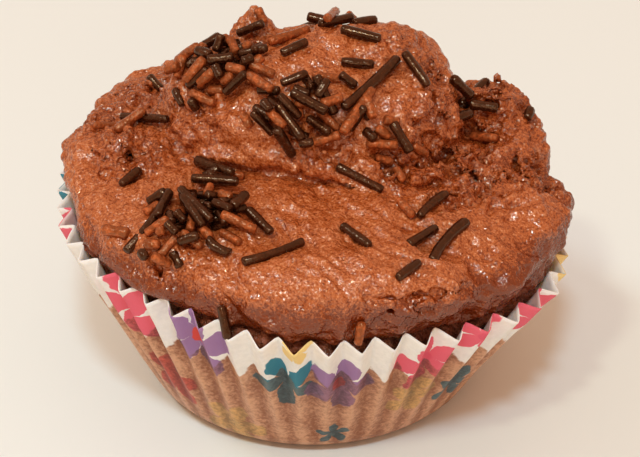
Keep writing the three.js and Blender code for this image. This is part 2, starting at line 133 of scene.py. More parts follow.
# Creases and pits cut into the frosting, in the same way.
CUTS = (
    (((-17.4, -4.3, 35.3), (-14.1, -5.9, 35.2), (-10.1, -7.0, 35.5), (-7.0, -8.3, 35.9), (-3.5, -9.3, 35.9),
      (0.5, -10.2, 35.7), (4.2, -10.9, 35.3), (7.4, -12.3, 34.9)), 0.8, 0.5, 0.4),
    (((15.4, 2.0, 44.4), (16.4, -0.6, 43.2), (16.6, -2.6, 41.6), (15.4, -4.6, 40.2), (14.2, -6.2, 38.6),
      (12.8, -7.4, 37.4)), 0.9, 1.2, 0.5),
    (((10.7, -8.7, 38.0), (11.8, -8.9, 36.6), (12.0, -9.9, 35.4)), 1.3, 1.0, 0.5),
    (((24.0, 0.6, 33.6), (26.6, -0.6, 33.2), (30.8, 0.2, 31.9)), 0.6, 0.8, 0.4),
    (((21.8, -10.7, 33.8), (22.6, -10.3, 33.7)), 0.7, 0.5, 0.3),
    (((25.0, -11.4, 33.4), (25.9, -10.8, 33.3)), 0.6, 0.5, 0.3),
    (((18.0, -6.9, 34.6), (20.5, -5.6, 34.2)), 0.7, 0.6, 0.4),
    (((-29.4, -8.0, 34.4), (-29.0, -7.2, 34.4)), 0.6, 0.5, 0.4),
    (((-25.7, -3.6, 36.2), (-24.1, -3.8, 36.0), (-22.1, -3.2, 36.0)), 0.4, 0.7, 0.4),
    (((-11.6, -29.4, 30.9), (-10.5, -30.2, 29.4), (-9.0, -30.8, 27.6), (-8.6, -30.8, 26.0)), 0.5, 0.9, 0.5),
    (((-20.4, -22.6, 32.3), (-19.2, -24.0, 30.8), (-18.9, -24.4, 28.6), (-18.9, -24.4, 27.0)),
     0.4, 0.8, 0.6),
    (((6.7, -31.6, 31.9), (11.1, -31.0, 31.7), (16.2, -29.8, 31.3), (20.9, -27.0, 30.4),
      (23.8, -24.4, 29.6)), 0.3, 0.5, 0.5),  # a shallow step over the curls
    (((12.4, -31.6, 29.6), (14.6, -31.4, 29.5)), 0.5, 0.5, 0.3),
    (((17.0, -30.6, 29.0), (19.4, -29.2, 28.6)), 0.6, 0.6, 0.3),
    (((10.1, -31.9, 29.7), (10.2, -30.9, 29.7)), 0.6, 0.4, 0.2),
)

# Places where the frosting was torn: middle, radius, and how rough.
TORN = (
    ((15.5, -2, 41), 6.0, 0.8),
    ((20, -6, 34), 12.0, 1.0),
    ((11.5, -9, 36.5), 5.0, 1.0),
    ((25, 6, 35), 11.0, 1.0),
    ((28, -4, 32), 9.0, 0.9),
    ((-24, -3.5, 36), 7.5, 1.0),
    ((-15, 0, 38), 9.0, 0.7),
    ((-22, 13, 35), 11.0, 1.0),
    ((-27, 7, 34), 10.0, 1.0),
    ((13, 6, 46), 7.0, 0.6),
    ((13, -31, 29.5), 4.0, 0.7),
    ((0, -8.5, 40), 7.0, 0.5),
    ((16.5, 3, 43.5), 6.0, 1.0),
    ((-12, 9, 44), 8.0, 0.7),
    ((0, 14, 46), 10.0, 0.5),
)

# ---- Numbers and noise ------------------------------------------------------------------


def gradient_table():
    """256 random unit vectors and a shuffled list of 256 numbers, always the same ones."""
    dice = np.random.default_rng(1203)
    vectors = dice.normal(size=(256, 3))
    vectors /= np.linalg.norm(vectors, axis=1, keepdims=True)
    return vectors.astype(np.float32), dice.permutation(256)


GRADIENTS, SHUFFLE = gradient_table()


def noise(points, size, seed=0):
    """Smooth random values, mostly within -0.6 to 0.6, at points given as rows of x, y, z.

    Each corner of a cubic lattice, with cells of the given size, has a random direction. A
    point's value mixes the eight corners' directions dotted with the way to the point, by
    the fade 6t^5 - 15t^4 + 10t^3 along each axis.
    """
    place = np.asarray(points, np.float32) / size + np.float32(seed * 17.31)
    cell = np.floor(place).astype(np.int64)
    inside = place - cell
    fade = inside**3 * (inside * (inside * 6 - 15) + 10)
    total = np.zeros(len(place), np.float32)
    for corner in range(8):
        step = np.array([corner & 1, corner >> 1 & 1, corner >> 2 & 1])
        spot = (cell + step) & 255
        turn = SHUFFLE[(SHUFFLE[(SHUFFLE[spot[:, 0]] + spot[:, 1]) & 255] + spot[:, 2]) & 255]
        weight = np.prod(np.where(step, fade, 1 - fade), axis=1)
        total += weight * np.einsum("ij,ij->i", GRADIENTS[turn], inside - step)
    return total


def layered_noise(points, size, layers, seed=0, fall=0.5):
    """Noise summed over layers, each of half the size and of fall times the height."""
    total = np.zeros(len(points), np.float32)
    height = 1.0
    for layer in range(layers):
        total += height * noise(points, size / 2**layer, seed + layer)
        height *= fall
    return total


def smooth_step(values, low, high):
    """0 below low, 1 above high, and 3t^2 - 2t^3 between them."""
    share = np.clip((values - low) / (high - low), 0, 1)
    return share * share * (3 - 2 * share)


def smooth_union(first, second, blend):
    """The lesser of two distances, with the corner between them rounded over blend."""
    share = np.clip(0.5 + 0.5 * (second - first) / blend, 0, 1)
    return second + (first - second) * share - blend * share * (1 - share)


def smooth_cut(body, tool, blend):
    """What is left of a body's distance once a tool's room is taken away."""
    return -smooth_union(-body, tool, blend)


# ---- The leaning cup ----------------------------------------------------------------------


def rim_growth(angle):
    """How far the rim stands out from a true circle in a direction."""
    thirds = RIM_THIRDS[0] * np.cos(3 * angle) + RIM_THIRDS[1] * np.sin(3 * angle)
    waves = RIM_WAVE_DEPTH * np.cos(RIM_WAVES * (angle - RIM_WAVE_START))
    front_share = (3 + 2 * np.cos(angle)) / 5
    return RIM_OVAL * np.sin(2 * angle) + thirds - waves * front_share


def settle(points):
    """Takes points of a true round cup to where they are in the leaning, drooping one."""
    x, y, z = points.T
    share = np.clip(z / RIDGE_HEIGHT, 0, 1)
    radius = np.hypot(x, y)
    reach = np.minimum(radius / FOLD_RADIUS, 1)
    growth = share * reach**2 * rim_growth(np.arctan2(x, -y))
    scale = 1 + growth / np.maximum(radius, 1e-6)
    return np.stack(
        (x * scale + RIM_SHIFT[0] * share, y * scale + RIM_SHIFT[1] * share, z - RIM_DROOP * x * share),
        axis=1,
    )


def unsettle(points):
    """The way back for points at rim height and above, as radius, angle and height."""
    x = points[:, 0] - RIM_SHIFT[0]
    y = points[:, 1] - RIM_SHIFT[1]
    outer = np.hypot(x, y)
    angle = np.arctan2(x, -y)
    growth = rim_growth(angle)
    radius = outer
    for _ in range(2):
        radius = outer - growth * np.minimum(radius / FOLD_RADIUS, 1) ** 2
    return radius, angle, points[:, 2] + RIM_DROOP * radius * np.sin(angle)


def dome_height(radius):
    """Height of the sponge's dome at a radius."""
    return DOME_TOP - (DOME_TOP - DOME_EDGE_HEIGHT) * (radius / DOME_EDGE_RADIUS) ** 2


def wall_lean(rim_radius, rim_height):
    """How far a straight wall leans from upright, as it leaves the rounded corner."""
    lean = 0.0
    for _ in range(40):
        radius = BASE_RADIUS + BASE_ROUND * math.cos(lean)
        height = BASE_ROUND * (1 - math.sin(lean))
        lean = math.atan((rim_radius - radius) / (rim_height - height))
    return lean


def cup_section(rim_radius, rim_height, inset, rows):
    """The cup's half section from the middle of its base to the rim, moved in by inset.

    rows is how many rows the base, the corner and the wall take. The corner is an arc of
    radius BASE_ROUND, and the wall is the straight line that leaves it for the rim.
    """
    lean = wall_lean(rim_radius, rim_height)
    turn = np.linspace(math.pi / 2, lean, rows[1] + 1)
    curve = BASE_ROUND - inset
    corner = np.stack((BASE_RADIUS + curve * np.cos(turn), BASE_ROUND - curve * np.sin(turn)), axis=1)
    flat = np.stack((np.linspace(0, BASE_RADIUS, rows[0], endpoint=False), np.full(rows[0], inset)), axis=1)
    rise = rim_height + inset * math.sin(lean) - corner[-1, 1]
    climb = np.linspace(0, rise, rows[2] + 1)[1:, None]
    wall = corner[-1] + climb * (math.tan(lean), 1)
    return np.concatenate((flat, corner, wall))


# ---- Making meshes --------------------------------------------------------------------------


def ring_faces(rows, columns):
    """Four-cornered faces between rings of a closed grid, listed ring by ring."""
    row, column = np.meshgrid(np.arange(rows - 1), np.arange(columns), indexing="ij")
    a = row * columns + column
    b = row * columns + (column + 1) % columns
    return np.stack((a, b, b + columns, a + columns), axis=-1).reshape(-1, 4)


def fan_faces(middle, ring, turned):
    """Triangles from a point to a ring of points."""
    after = np.roll(ring, -1)
    centre = np.full(len(ring), middle)
    return np.stack((centre, after, ring) if turned else (centre, ring, after), axis=1)


def make_piece(name, points, faces, material, node):
    """Puts points (mm) and lists of faces into a smooth mesh that stands for a node."""
    mesh = bpy.data.meshes.new(name)
    mesh.from_pydata((points * MM).tolist(), [], [face for block in faces for face in block.tolist()])
    mesh.polygons.foreach_set("use_smooth", np.ones(len(mesh.polygons), bool))
    mesh.materials.append(material)
    mesh.update()
    piece = bpy.data.objects.new(name, mesh)
    bpy.context.scene.collection.objects.link(piece)
    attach(piece, "root")
    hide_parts(node)
    return piece


def point_values(mesh, name, values):
    """Keeps one number for each point of a mesh, for its material to read."""
    attribute = mesh.attributes.new(name, "FLOAT", "POINT")
    attribute.data.foreach_set("value", np.ascontiguousarray(values, np.float32))


# ---- Making materials -----------------------------------------------------------------------


class Tree:
    """A node tree with short ways to add nodes and join them."""

    def __init__(self, tree):
        self.tree = tree

    def add(self, kind, inputs=None, **settings):
        """Adds a node, sets it up, and fills its inputs with values or other sockets."""
        node = self.tree.nodes.new(kind)
        for key, value in settings.items():
            setattr(node, key, value)
        for key, value in (inputs or {}).items():
            if isinstance(value, bpy.types.NodeSocket):
                self.tree.links.new(value, node.inputs[key])
            else:
                node.inputs[key].default_value = value
        return node

    def sum(self, operation, *values):
        """The result of a Math node."""
        return self.add("ShaderNodeMath", dict(enumerate(values)), operation=operation).outputs[0]

    def vectors(self, operation, inputs):
        """The vector that a Vector Math node gives."""
        return self.add("ShaderNodeVectorMath", inputs, operation=operation).outputs[0]

    def mix(self, share, first, second):
        """A mix of two colours."""
        return self.add("ShaderNodeMix", {0: share, 6: first, 7: second}, data_type="RGBA").outputs[2]

    def step(self, value, low, high, first=0.0, last=1.0):
        """A smooth change from first to last as a value goes from low to high."""
        inputs = {"Value": value, "From Min": low, "From Max": high, "To Min": first, "To Max": last}
        return self.add("ShaderNodeMapRange", inputs, interpolation_type="SMOOTHSTEP").outputs[0]

    def noise(self, vector, size, detail=2.0, roughness=0.5):
        """Noise with features of a size in the units of the vector, from 0 to 1."""
        inputs = {"Vector": vector, "Scale": 1 / size, "Detail": detail, "Roughness": roughness}
        return self.add("ShaderNodeTexNoise", inputs).outputs[0]


def new_material(name):
    """An empty material with a Principled shader, as its tree and that shader."""
    material = bpy.data.materials.new(name)
    material.use_nodes = True
    tree = Tree(material.node_tree)
    shader = material.node_tree.nodes["Principled BSDF"]
    return material, tree, shader


def new_group(name, inputs, outputs):
    """An empty node group with named sockets, as the group, its tree, and both ends."""
    group = bpy.data.node_groups.new(name, "ShaderNodeTree")
    for label, kind, value in inputs:
        socket = group.interface.new_socket(name=label, in_out="INPUT", socket_type=kind)
        if value is not None:
            socket.default_value = value
    for label, kind in outputs:
        group.interface.new_socket(name=label, in_out="OUTPUT", socket_type=kind)
    tree = Tree(group)
    return group, tree, tree.add("NodeGroupInput").outputs, tree.add("NodeGroupOutput")


PETALS = 5
PETAL_WAIST = 0.22  # how far out the outline is between two petals, as a share of the size
HEART_RADIUS = 0.2  # as a share of the size
PETAL_SOFTNESS = 0.16  # half the width of the petals' edge, in mm
HEART_SOFTNESS = 0.12


def flower_group():
    """One flower of the print, as a mask of its petals and one of its heart.

    A petal's edge lies at size times w + (1 - w) |cos pa/2|^narrow from the middle, where a is
    the angle round it, p is PETALS and w is PETAL_WAIST. The heart is a disc.
    """
    group = bpy.data.node_groups.get("Printed flower")
    if group:
        return group
    group, tree, start, end = new_group(
        "Printed flower",
        [
            ("Vector", "NodeSocketVector", None),
            ("Middle", "NodeSocketVector", None),
            ("Size", "NodeSocketFloat", 4.0),
            ("Turn", "NodeSocketFloat", 0.0),
            ("Narrow", "NodeSocketFloat", 0.55),
        ],
        [("Petals", "NodeSocketFloat"), ("Heart", "NodeSocketFloat")],
    )
    away = tree.vectors("SUBTRACT", {0: start["Vector"], 1: start["Middle"]})
    parts = tree.add("ShaderNodeSeparateXYZ", {0: away}).outputs
    distance = tree.add("ShaderNodeVectorMath", {0: away}, operation="LENGTH").outputs["Value"]
    angle = tree.sum("ADD", tree.sum("ARCTAN2", parts[1], parts[0]), start["Turn"])
    lobes = tree.sum("ABSOLUTE", tree.sum("COSINE", tree.sum("MULTIPLY", angle, PETALS / 2)))
    lobes = tree.sum("POWER", lobes, start["Narrow"])
    shape = tree.sum("ADD", tree.sum("MULTIPLY", lobes, 1 - PETAL_WAIST), PETAL_WAIST)
    edge = tree.sum("MULTIPLY", shape, start["Size"])
    left = tree.sum("SUBTRACT", edge, distance)
    tree.tree.links.new(tree.step(left, -PETAL_SOFTNESS, PETAL_SOFTNESS), end.inputs["Petals"])
    heart = tree.sum("SUBTRACT", tree.sum("MULTIPLY", start["Size"], HEART_RADIUS), distance)
    tree.tree.links.new(tree.step(heart, -HEART_SOFTNESS, HEART_SOFTNESS), end.inputs["Heart"])
    return group


def bumped(tree, shader, height, distance, strength):
    """Feeds a height, times a distance in metres, through a Bump node into the shader's normal."""
    node = tree.add("ShaderNodeBump", {"Height": height, "Distance": distance, "Strength": strength})
    tree.tree.links.new(node.outputs[0], shader.inputs["Normal"])


# ---- Settings ----------------------------------------------------------------------------------


def colour_property(name, description, default):
    """A colour with no alpha."""
    return FloatVectorProperty(
        name=name, description=description, default=default, subtype="COLOR", size=3, min=0, max=1
    )


def length_property(name, description, default):
    """A length in metres, given here in millimetres."""
    return FloatProperty(name=name, description=description, default=default * MM, unit="LENGTH", min=0)


class CupcakeWrapperSettings(bpy.types.PropertyGroup):
    """Sizes and colours of the paper wrapper."""

    pleats: IntProperty(name="Pleats", description="Pleats round the wrapper", default=50, min=8)
    ridge_radius: length_property("Ridge radius", "Rim radius where pleats stand out", 34.8)
    thickness: length_property("Paper", "Thickness of the paper", 0.14)
    dry_band: length_property("Dry band", "Width of the dry paper below the rim", 8.2)
    paper: colour_property("Paper", "Dry paper", (0.93, 0.87, 0.79))
    greased: colour_property("Greased", "Paper soaked with grease", (0.68, 0.365, 0.22))
    # The soaked colour also serves as painted shade in the pleat valleys.
    soaked: colour_property("Soaked", "Soaked paper that lies on the sponge", (0.3, 0.11, 0.047))
    pink: colour_property("Pink", "Pink flowers", (0.80, 0.11, 0.17))
    lilac: colour_property("Lilac", "Lilac flowers", (0.33, 0.175, 0.36))
    teal: colour_property("Teal", "Teal flowers", (0.002, 0.19, 0.27))
    yellow: colour_property("Yellow", "Yellow flowers", (0.9, 0.62, 0.24))
    red: colour_property("Red", "Red flowers", (0.72, 0.09, 0.06))


class CupcakeCakeSettings(bpy.types.PropertyGroup):
    """Colours of the sponge, and the frosting's fineness and colours."""

    sponge: colour_property("Sponge", "Moist dark crumb", (0.22, 0.066, 0.028))
    cell: length_property("Cell", "Size of the cells that the frosting is worked out in", 0.335)
    frosting: colour_property("Frosting", "Frosting in the light", (0.455, 0.122, 0.033))
    # The next two are painted light mixed with random specks: the deep colour is painted shade in the
    # hollows, and the crest colour is a painted highlight on the crests.
    frosting_dark_specks_and_shade: colour_property("Deep frosting", "Frosting in its hollows", (0.19, 0.03, 0.003))
    frosting_pale_specks_and_highlight: colour_property("Frosting crest", "Frosting on its crests", (0.68, 0.285, 0.13))
    relief: length_property("Relief", "Depth of the grain and strokes", 0.4)
    gloss: colour_property("Gloss", "Tint of the reflections", (1.0, 0.93, 0.82))


class CupcakeStrandSettings(bpy.types.PropertyGroup):
    """Thickness and colours of the chocolate strands."""

    radius: length_property("Radius", "Usual radius of a strand", 0.63)
    dark: colour_property("Dark", "Plain strands", (0.032, 0.008, 0.0025))
    cocoa: colour_property("Cocoa", "Strands coated in frosting", (0.24, 0.062, 0.018))
    gloss: colour_property("Gloss", "Tint of the reflections", (1.0, 0.66, 0.42))


class CupcakeStageSettings(bpy.types.PropertyGroup):
    """Camera and light."""

    distance: FloatProperty(name="Distance", description="Camera to cake", default=0.4, unit="LENGTH")
    elevation: FloatProperty(
        name="Elevation", description="Height of the view", default=math.radians(33.4), subtype="ANGLE"
    )
    lens: FloatProperty(name="Lens", description="Focal length in mm", default=165.1)
    key: FloatProperty(name="Key light", description="Watts of the key light", default=3.6)
    fill: FloatProperty(name="Fill light", description="Brightness of the room", default=0.63)
    floor: colour_property("Floor", "Pale floor", (0.805, 0.853, 0.815))


# ---- Front view ----------------------------------------------------------------------------------

VIEW_SIZE = (640, 457)  # pixels
VIEW_TARGET = (1.1, 0, 21.4)
SENSOR = 36  # mm


class FrontView:
    """The camera's place and directions, in millimetres, for lines of sight through a picture."""

    def __init__(self, settings):
        self.forward = np.array((0, math.cos(settings.elevation), -math.sin(settings.elevation)))
        self.right = np.array((1, 0, 0))
        self.up = np.cross(self.right, self.forward)
        self.eye = np.array(VIEW_TARGET) - self.forward * settings.distance / MM
        self.focal = settings.lens / SENSOR * VIEW_SIZE[0]
        self.pixel = settings.distance / MM / self.focal  # at the target

    def ways(self, spots):
        """Directions of the lines of sight through spots, 1 deep each."""
        across, down = ((np.asarray(spots) - np.array(VIEW_SIZE) / 2) / self.focal).T
        return self.forward + across[:, None] * self.right - down[:, None] * self.up

    def points(self, spots, depths):
        """Points at depths behind spots of the picture."""
        return self.eye + self.ways(spots) * np.asarray(depths)[:, None]

    def spots(self, points):
        """The way back: where points show in the picture, and their depths."""
        away = np.asarray(points) - self.eye
        depths = away @ self.forward
        beside = np.stack((away @ self.right, -away @ self.up), axis=1)
        return np.array(VIEW_SIZE) / 2 + self.focal * beside / depths[:, None], depths


# ---- Wrapper -------------------------------------------------------------------------------------

WRAPPER_ROWS = (5, 8, 34)
WRAPPER_COLUMNS = 12  # for each pleat
PLEAT_ROUND = 0.965  # 1 would be a sharp fold
PRINT_SPAN = 100  # mm of flat paper that the print's map spans
WET_INK = (0.8, 0.66, 0.6)  # how much of an ink's red, green and blue is left on greased paper
DARK_INK = 0.4  # and how much of that where greased paper is darkest: where it lies on the sponge, with painted shade in the pleat valleys
INK_WANDER = (1.8, 1.5)  # how long the unevenness of a petal's edge is, and its whole range, in mm
INK_OUTSIDE = (0.95, 0.85)  # how strongly the print shows on dry and on greased paper
INK_INSIDE = (0.28, 0.2)
PAPER_INSET = 0.01  # how far the paper's outer face lies inside the cup, in mm
CRUMPLE = (5.0, 0.35)  # size and height of the wall's unevenness, in mm
CREASES = (2.2, 0.3)  # and of the small creases on its ridges
SOAK_WANDER = (0.0022, 3.2)  # how long the unevenness of the grease's edge is (m), and its range (mm)
RIDGE_DRIER = 1.6  # how much wider the dry band is on a ridge than in a fold, in mm
SOAK_SOFTNESS = 0.25  # half the width of the grease's edge, in mm
SOAK_SHARES = (0.7, 2.0, 1.0)  # how much the pleats' fold lines (grease where they lie on the sponge, and painted shade of the pleat valleys), mottle and patches darken greased paper
SOAK_RANGE = (1.2, 2.5)  # sums of the three where it begins to darken, and where it is darkest
MOTTLE_SIZE = 0.00055  # metres, as are the next three
PATCH_SIZE = 0.004
FIBRE_SIZE = 0.0009
PAPER_BUMP = 0.00012

# Flowers of the print: colour, middle on the flat paper (mm), size, turn, petal narrowness.
FLOWERS = (
    ("teal", (-47.5, 1), 5.0, 0.4, 0.9),
    ("pink", (-47, -11), 4.5, 1.1, 0.5),
    ("pink", (-33, -29.5), 6.3, 0.2, 0.5),
    ("lilac", (-20.5, -39.5), 6.9, 0.5, 0.5),
    ("red", (-22, -22.5), 5.0, 0.9, 0.5),
    ("yellow", (-11, -23.5), 5.0, 0.3, 0.5),
    ("yellow", (-2, -49), 3.2, 1.4, 0.5),
    ("teal", (-3.5, -39.8), 6.2, 0.9, 0.9),
    ("lilac", (5.2, -39.3), 6.3, 1.0, 0.5),
    ("teal", (3.2, -26), 2.6, 0.2, 0.9),
    ("pink", (21, -37), 6.2, 0.15, 0.5),
    ("yellow", (16.5, -29), 4.6, 0.7, 0.5),
    ("teal", (22.8, -22.8), 4.2, 0.6, 0.9),
    ("pink", (31, -36.5), 4.6, 0.8, 0.5),
    ("pink", (39, -26), 5.6, 0.3, 0.5),
    ("yellow", (45, -13), 6.0, 1.2, 0.5),
    ("lilac", (-7, -10), 5.5, 0.6, 0.5),
    ("pink", (9, -12), 4.5, 1.0, 0.5),
)
HEARTS = (("red", "lilac"), ("teal", "pink"), ("teal", "yellow"))  # colour of a heart, and of its petals
BACK_PRINT = 5.0  # from here back, the print is the front's turned half round


def pleat_share(turn, pleats):
    """0 on a fold line and 1 on a ridge, at angles counted from the first fold.

    It is (1 - w) / 2, where w is a cosine wave made nearly straight-sided by an arc sine.
    """
    wave = np.arcsin(PLEAT_ROUND * np.cos(turn * pleats)) / math.asin(PLEAT_ROUND)
    return (1 - wave) / 2


def wrapper_grid(settings):
    """The pleated paper: points, and each point's place on the flat paper and its pleat.

    Round the cup, a point is mixed between the fold line and the ridge line. Along the
    wall, it follows the cup's section. Its place on the flat paper is as far from the
    middle as the section is long up to there, in the same direction.
    """
    columns = settings.pleats * WRAPPER_COLUMNS
    ridge_radius = settings.ridge_radius / MM
    fold = cup_section(FOLD_RADIUS, RIDGE_HEIGHT + FOLD_RISE, PAPER_INSET, WRAPPER_ROWS)
    ridge = cup_section(ridge_radius, RIDGE_HEIGHT, PAPER_INSET, WRAPPER_ROWS)
    turn = np.arange(columns) * TAU / columns
    share = pleat_share(turn, settings.pleats)
    angle = FIRST_FOLD + turn
    section = fold[1:, None] + (ridge - fold)[1:, None] * share[None, :, None]
    radius, height = section[..., 0], section[..., 1]
    climb = np.clip(height / RIDGE_HEIGHT, 0, 1)
    spots = np.stack((radius * np.sin(angle), -radius * np.cos(angle), height), axis=-1).reshape(-1, 3)
    crumple = layered_noise(spots * (1, 1, 0.4), CRUMPLE[0], 2, seed=3).reshape(radius.shape)
    creases = noise(spots * (1, 1, 0.15), CREASES[0], seed=8).reshape(radius.shape)
    radius = radius + climb * (CRUMPLE[1] * crumple + CREASES[1] * creases * share)
    steps = [np.linalg.norm(np.diff(line, axis=0), axis=1) for line in (fold, ridge)]
    lengths = [np.cumsum(step) for step in steps]
    flat = lengths[0][:, None] + (lengths[1] - lengths[0])[:, None] * share[None]
    points = np.stack((radius * np.sin(angle), -radius * np.cos(angle), height), axis=-1).reshape(-1, 3)
    print_places = np.stack((flat * np.sin(angle), -flat * np.cos(angle)), axis=-1).reshape(-1, 2)
    rim_length = lengths[0][-1] + (lengths[1][-1] - lengths[0][-1]) * share
    below_rim = (rim_length[None] - flat).reshape(-1)
    pleat = np.broadcast_to(share, radius.shape).reshape(-1)
    return points, print_places, below_rim, pleat, radius.shape


def flower_masks(tree, flat):
    """Where each ink of the print is, from places on the flat paper."""
    parts = tree.add("ShaderNodeSeparateXYZ", {0: flat}).outputs
    front = tree.step(parts[1], BACK_PRINT + 0.01, BACK_PRINT - 0.01, -1.0, 1.0)
    flat = tree.vectors("SCALE", {0: flat, "Scale": front})
    length, reach = INK_WANDER
    wander = tree.add("ShaderNodeTexNoise", {"Vector": flat, "Scale": 1 / length}).outputs["Color"]
    wander = tree.vectors("SUBTRACT", {0: wander, 1: (0.5, 0.5, 0.5)})
    wander = tree.vectors("SCALE", {0: wander, "Scale": reach})
    flat = tree.vectors("ADD", {0: flat, 1: wander})
    masks = {}
    for name, middle, size, turn, narrow in FLOWERS:
        inputs = {"Vector": flat, "Middle": (*middle, 0), "Size": size, "Turn": turn, "Narrow": narrow}
        flower = tree.add("ShaderNodeGroup", inputs, node_tree=flower_group())
        shown = {name: flower.outputs["Petals"]}
        shown |= {heart: flower.outputs["Heart"] for heart, petals in HEARTS if petals == name}
        for ink, mask in shown.items():
            masks[ink] = tree.sum("MAXIMUM", masks[ink], mask) if ink in masks else mask
    return masks


def wrapper_material(name, settings, inside):
    """Thin printed paper: dry and matt at the rim, speckled brown where grease has soaked in."""
    material, tree, shader = new_material(name)
    print_place = tree.add("ShaderNodeUVMap", uv_map="print").outputs[0]
    flat = tree.add(
        "ShaderNodeMapping",
        {
            "Vector": print_place,
            "Location": (-PRINT_SPAN / 2, -PRINT_SPAN / 2, 0),
            "Scale": (PRINT_SPAN, PRINT_SPAN, 1),
        },
    ).outputs[0]
    place = tree.add("ShaderNodeTexCoord").outputs["Object"]
    below = tree.add("ShaderNodeAttribute", attribute_name="below_rim").outputs["Fac"]
    pleat = tree.add("ShaderNodeAttribute", attribute_name="pleat").outputs["Fac"]

    length, reach = SOAK_WANDER
    wander = tree.sum("MULTIPLY", tree.sum("SUBTRACT", tree.noise(place, length, 3.0), 0.5), reach)
    front = tree.sum("ADD", below, wander)
    front = tree.sum("SUBTRACT", front, tree.sum("MULTIPLY", pleat, RIDGE_DRIER))
    band = settings.dry_band / MM - RIDGE_DRIER / 2
    soak = tree.step(front, band - SOAK_SOFTNESS, band + SOAK_SOFTNESS)

    mottle = tree.noise(place, MOTTLE_SIZE, 2.0, 0.7)
    patches = tree.noise(place, PATCH_SIZE, 2.0)
    # The pleats' fold lines are darker: partly grease where the paper lies on the sponge, partly painted
    # shade of the pleat valleys. Mottle and patches are the grease's own speckle.
    in_fold = tree.sum("SUBTRACT", 1.0, pleat)
    fold_soak_and_shade, spots, broad = (
        tree.sum("MULTIPLY", value, share) for value, share in zip((in_fold, mottle, patches), SOAK_SHARES)
    )
    dark = tree.step(tree.sum("ADD", tree.sum("ADD", fold_soak_and_shade, spots), broad), *SOAK_RANGE)
    greased = tree.mix(dark, (*settings.greased, 1), (*settings.soaked, 1))
    fibres = tree.noise(place, FIBRE_SIZE, 3.0, 0.6)
    shaded = tuple(0.93 * value for value in settings.paper)
    dry = tree.mix(tree.step(fibres, 0.3, 0.7), (*settings.paper, 1), (*shaded, 1))
    colour = tree.mix(soak, dry, greased)
    for ink_name, mask in flower_masks(tree, flat).items():
        ink = getattr(settings, ink_name)
        wet = tuple(left * value for left, value in zip(WET_INK, ink))
        darkest = tuple(DARK_INK * value for value in wet)
        inked = tree.mix(soak, (*ink, 1), tree.mix(dark, (*wet, 1), (*darkest, 1)))
        strength = tree.step(soak, 0.0, 1.0, *(INK_INSIDE if inside else INK_OUTSIDE))
        colour = tree.mix(tree.sum("MULTIPLY", mask, strength), colour, inked)
    tree.tree.links.new(colour, shader.inputs["Base Color"])
    tree.tree.links.new(tree.step(soak, 0.0, 1.0, 0.75, 0.42), shader.inputs["Roughness"])
    shader.inputs["Subsurface Weight"].default_value = 0.25
    shader.inputs["Subsurface Radius"].default_value = (1.0, 0.7, 0.45)
    shader.inputs["Subsurface Scale"].default_value = 0.0012
    height = tree.sum("ADD", fibres, tree.sum("MULTIPLY", mottle, 0.6))
    bumped(tree, shader, height, PAPER_BUMP, 0.5)
    return material


class CUPCAKE_OT_wrapper(bpy.types.Operator):
    """Builds the pleated paper wrapper"""

    bl_idname = "cupcake.wrapper"
    bl_label = "Paper Wrapper"

    def execute(self, context):
        settings = context.scene.cupcake_wrapper
        points, places, below, pleat, shape = wrapper_grid(settings)
        rows, columns = shape
        points = settle(points)
        middle = len(points)
        points = np.vstack((points, (0, 0, PAPER_INSET)))
        faces = [fan_faces(middle, np.arange(columns), True), ring_faces(rows, columns)]
        outer = wrapper_material("wrapper_paper", settings, False)
        piece = make_piece("paper_wrapper", points, faces, outer, "wrapper")
        piece.data.materials.append(wrapper_material("wrapper_paper_inside", settings, True))
        point_values(piece.data, "below_rim", np.append(below, below.max()))
        point_values(piece.data, "pleat", np.append(pleat, 0.5))
        layer = piece.data.uv_layers.new(name="print")
        corners = np.empty(len(piece.data.loops), np.int32)
        piece.data.loops.foreach_get("vertex_index", corners)
        places = np.vstack((places, (0, 0))) / PRINT_SPAN + 0.5
        layer.data.foreach_set("uv", places[corners].astype(np.float32).ravel())
        wall = piece.modifiers.new("paper", "SOLIDIFY")
        wall.thickness = settings.thickness
        wall.offset = -1
        wall.material_offset = 1
        return {"FINISHED"}


# ---- Sponge ------------------------------------------------------------------------------------

PLEAT_FILL = 0.7  # share of a pleat's depth that the sponge fills
SPONGE_ROWS = 64
SPONGE_LUMPS = (3.0, 0.5)  # size of the crumb's unevenness, and the height of its noise, in mm
CRUMB_SIZE = 0.0011  # metres
PORES = 700.0  # in a metre
CRUMB_BUMP = 0.0008  # metres


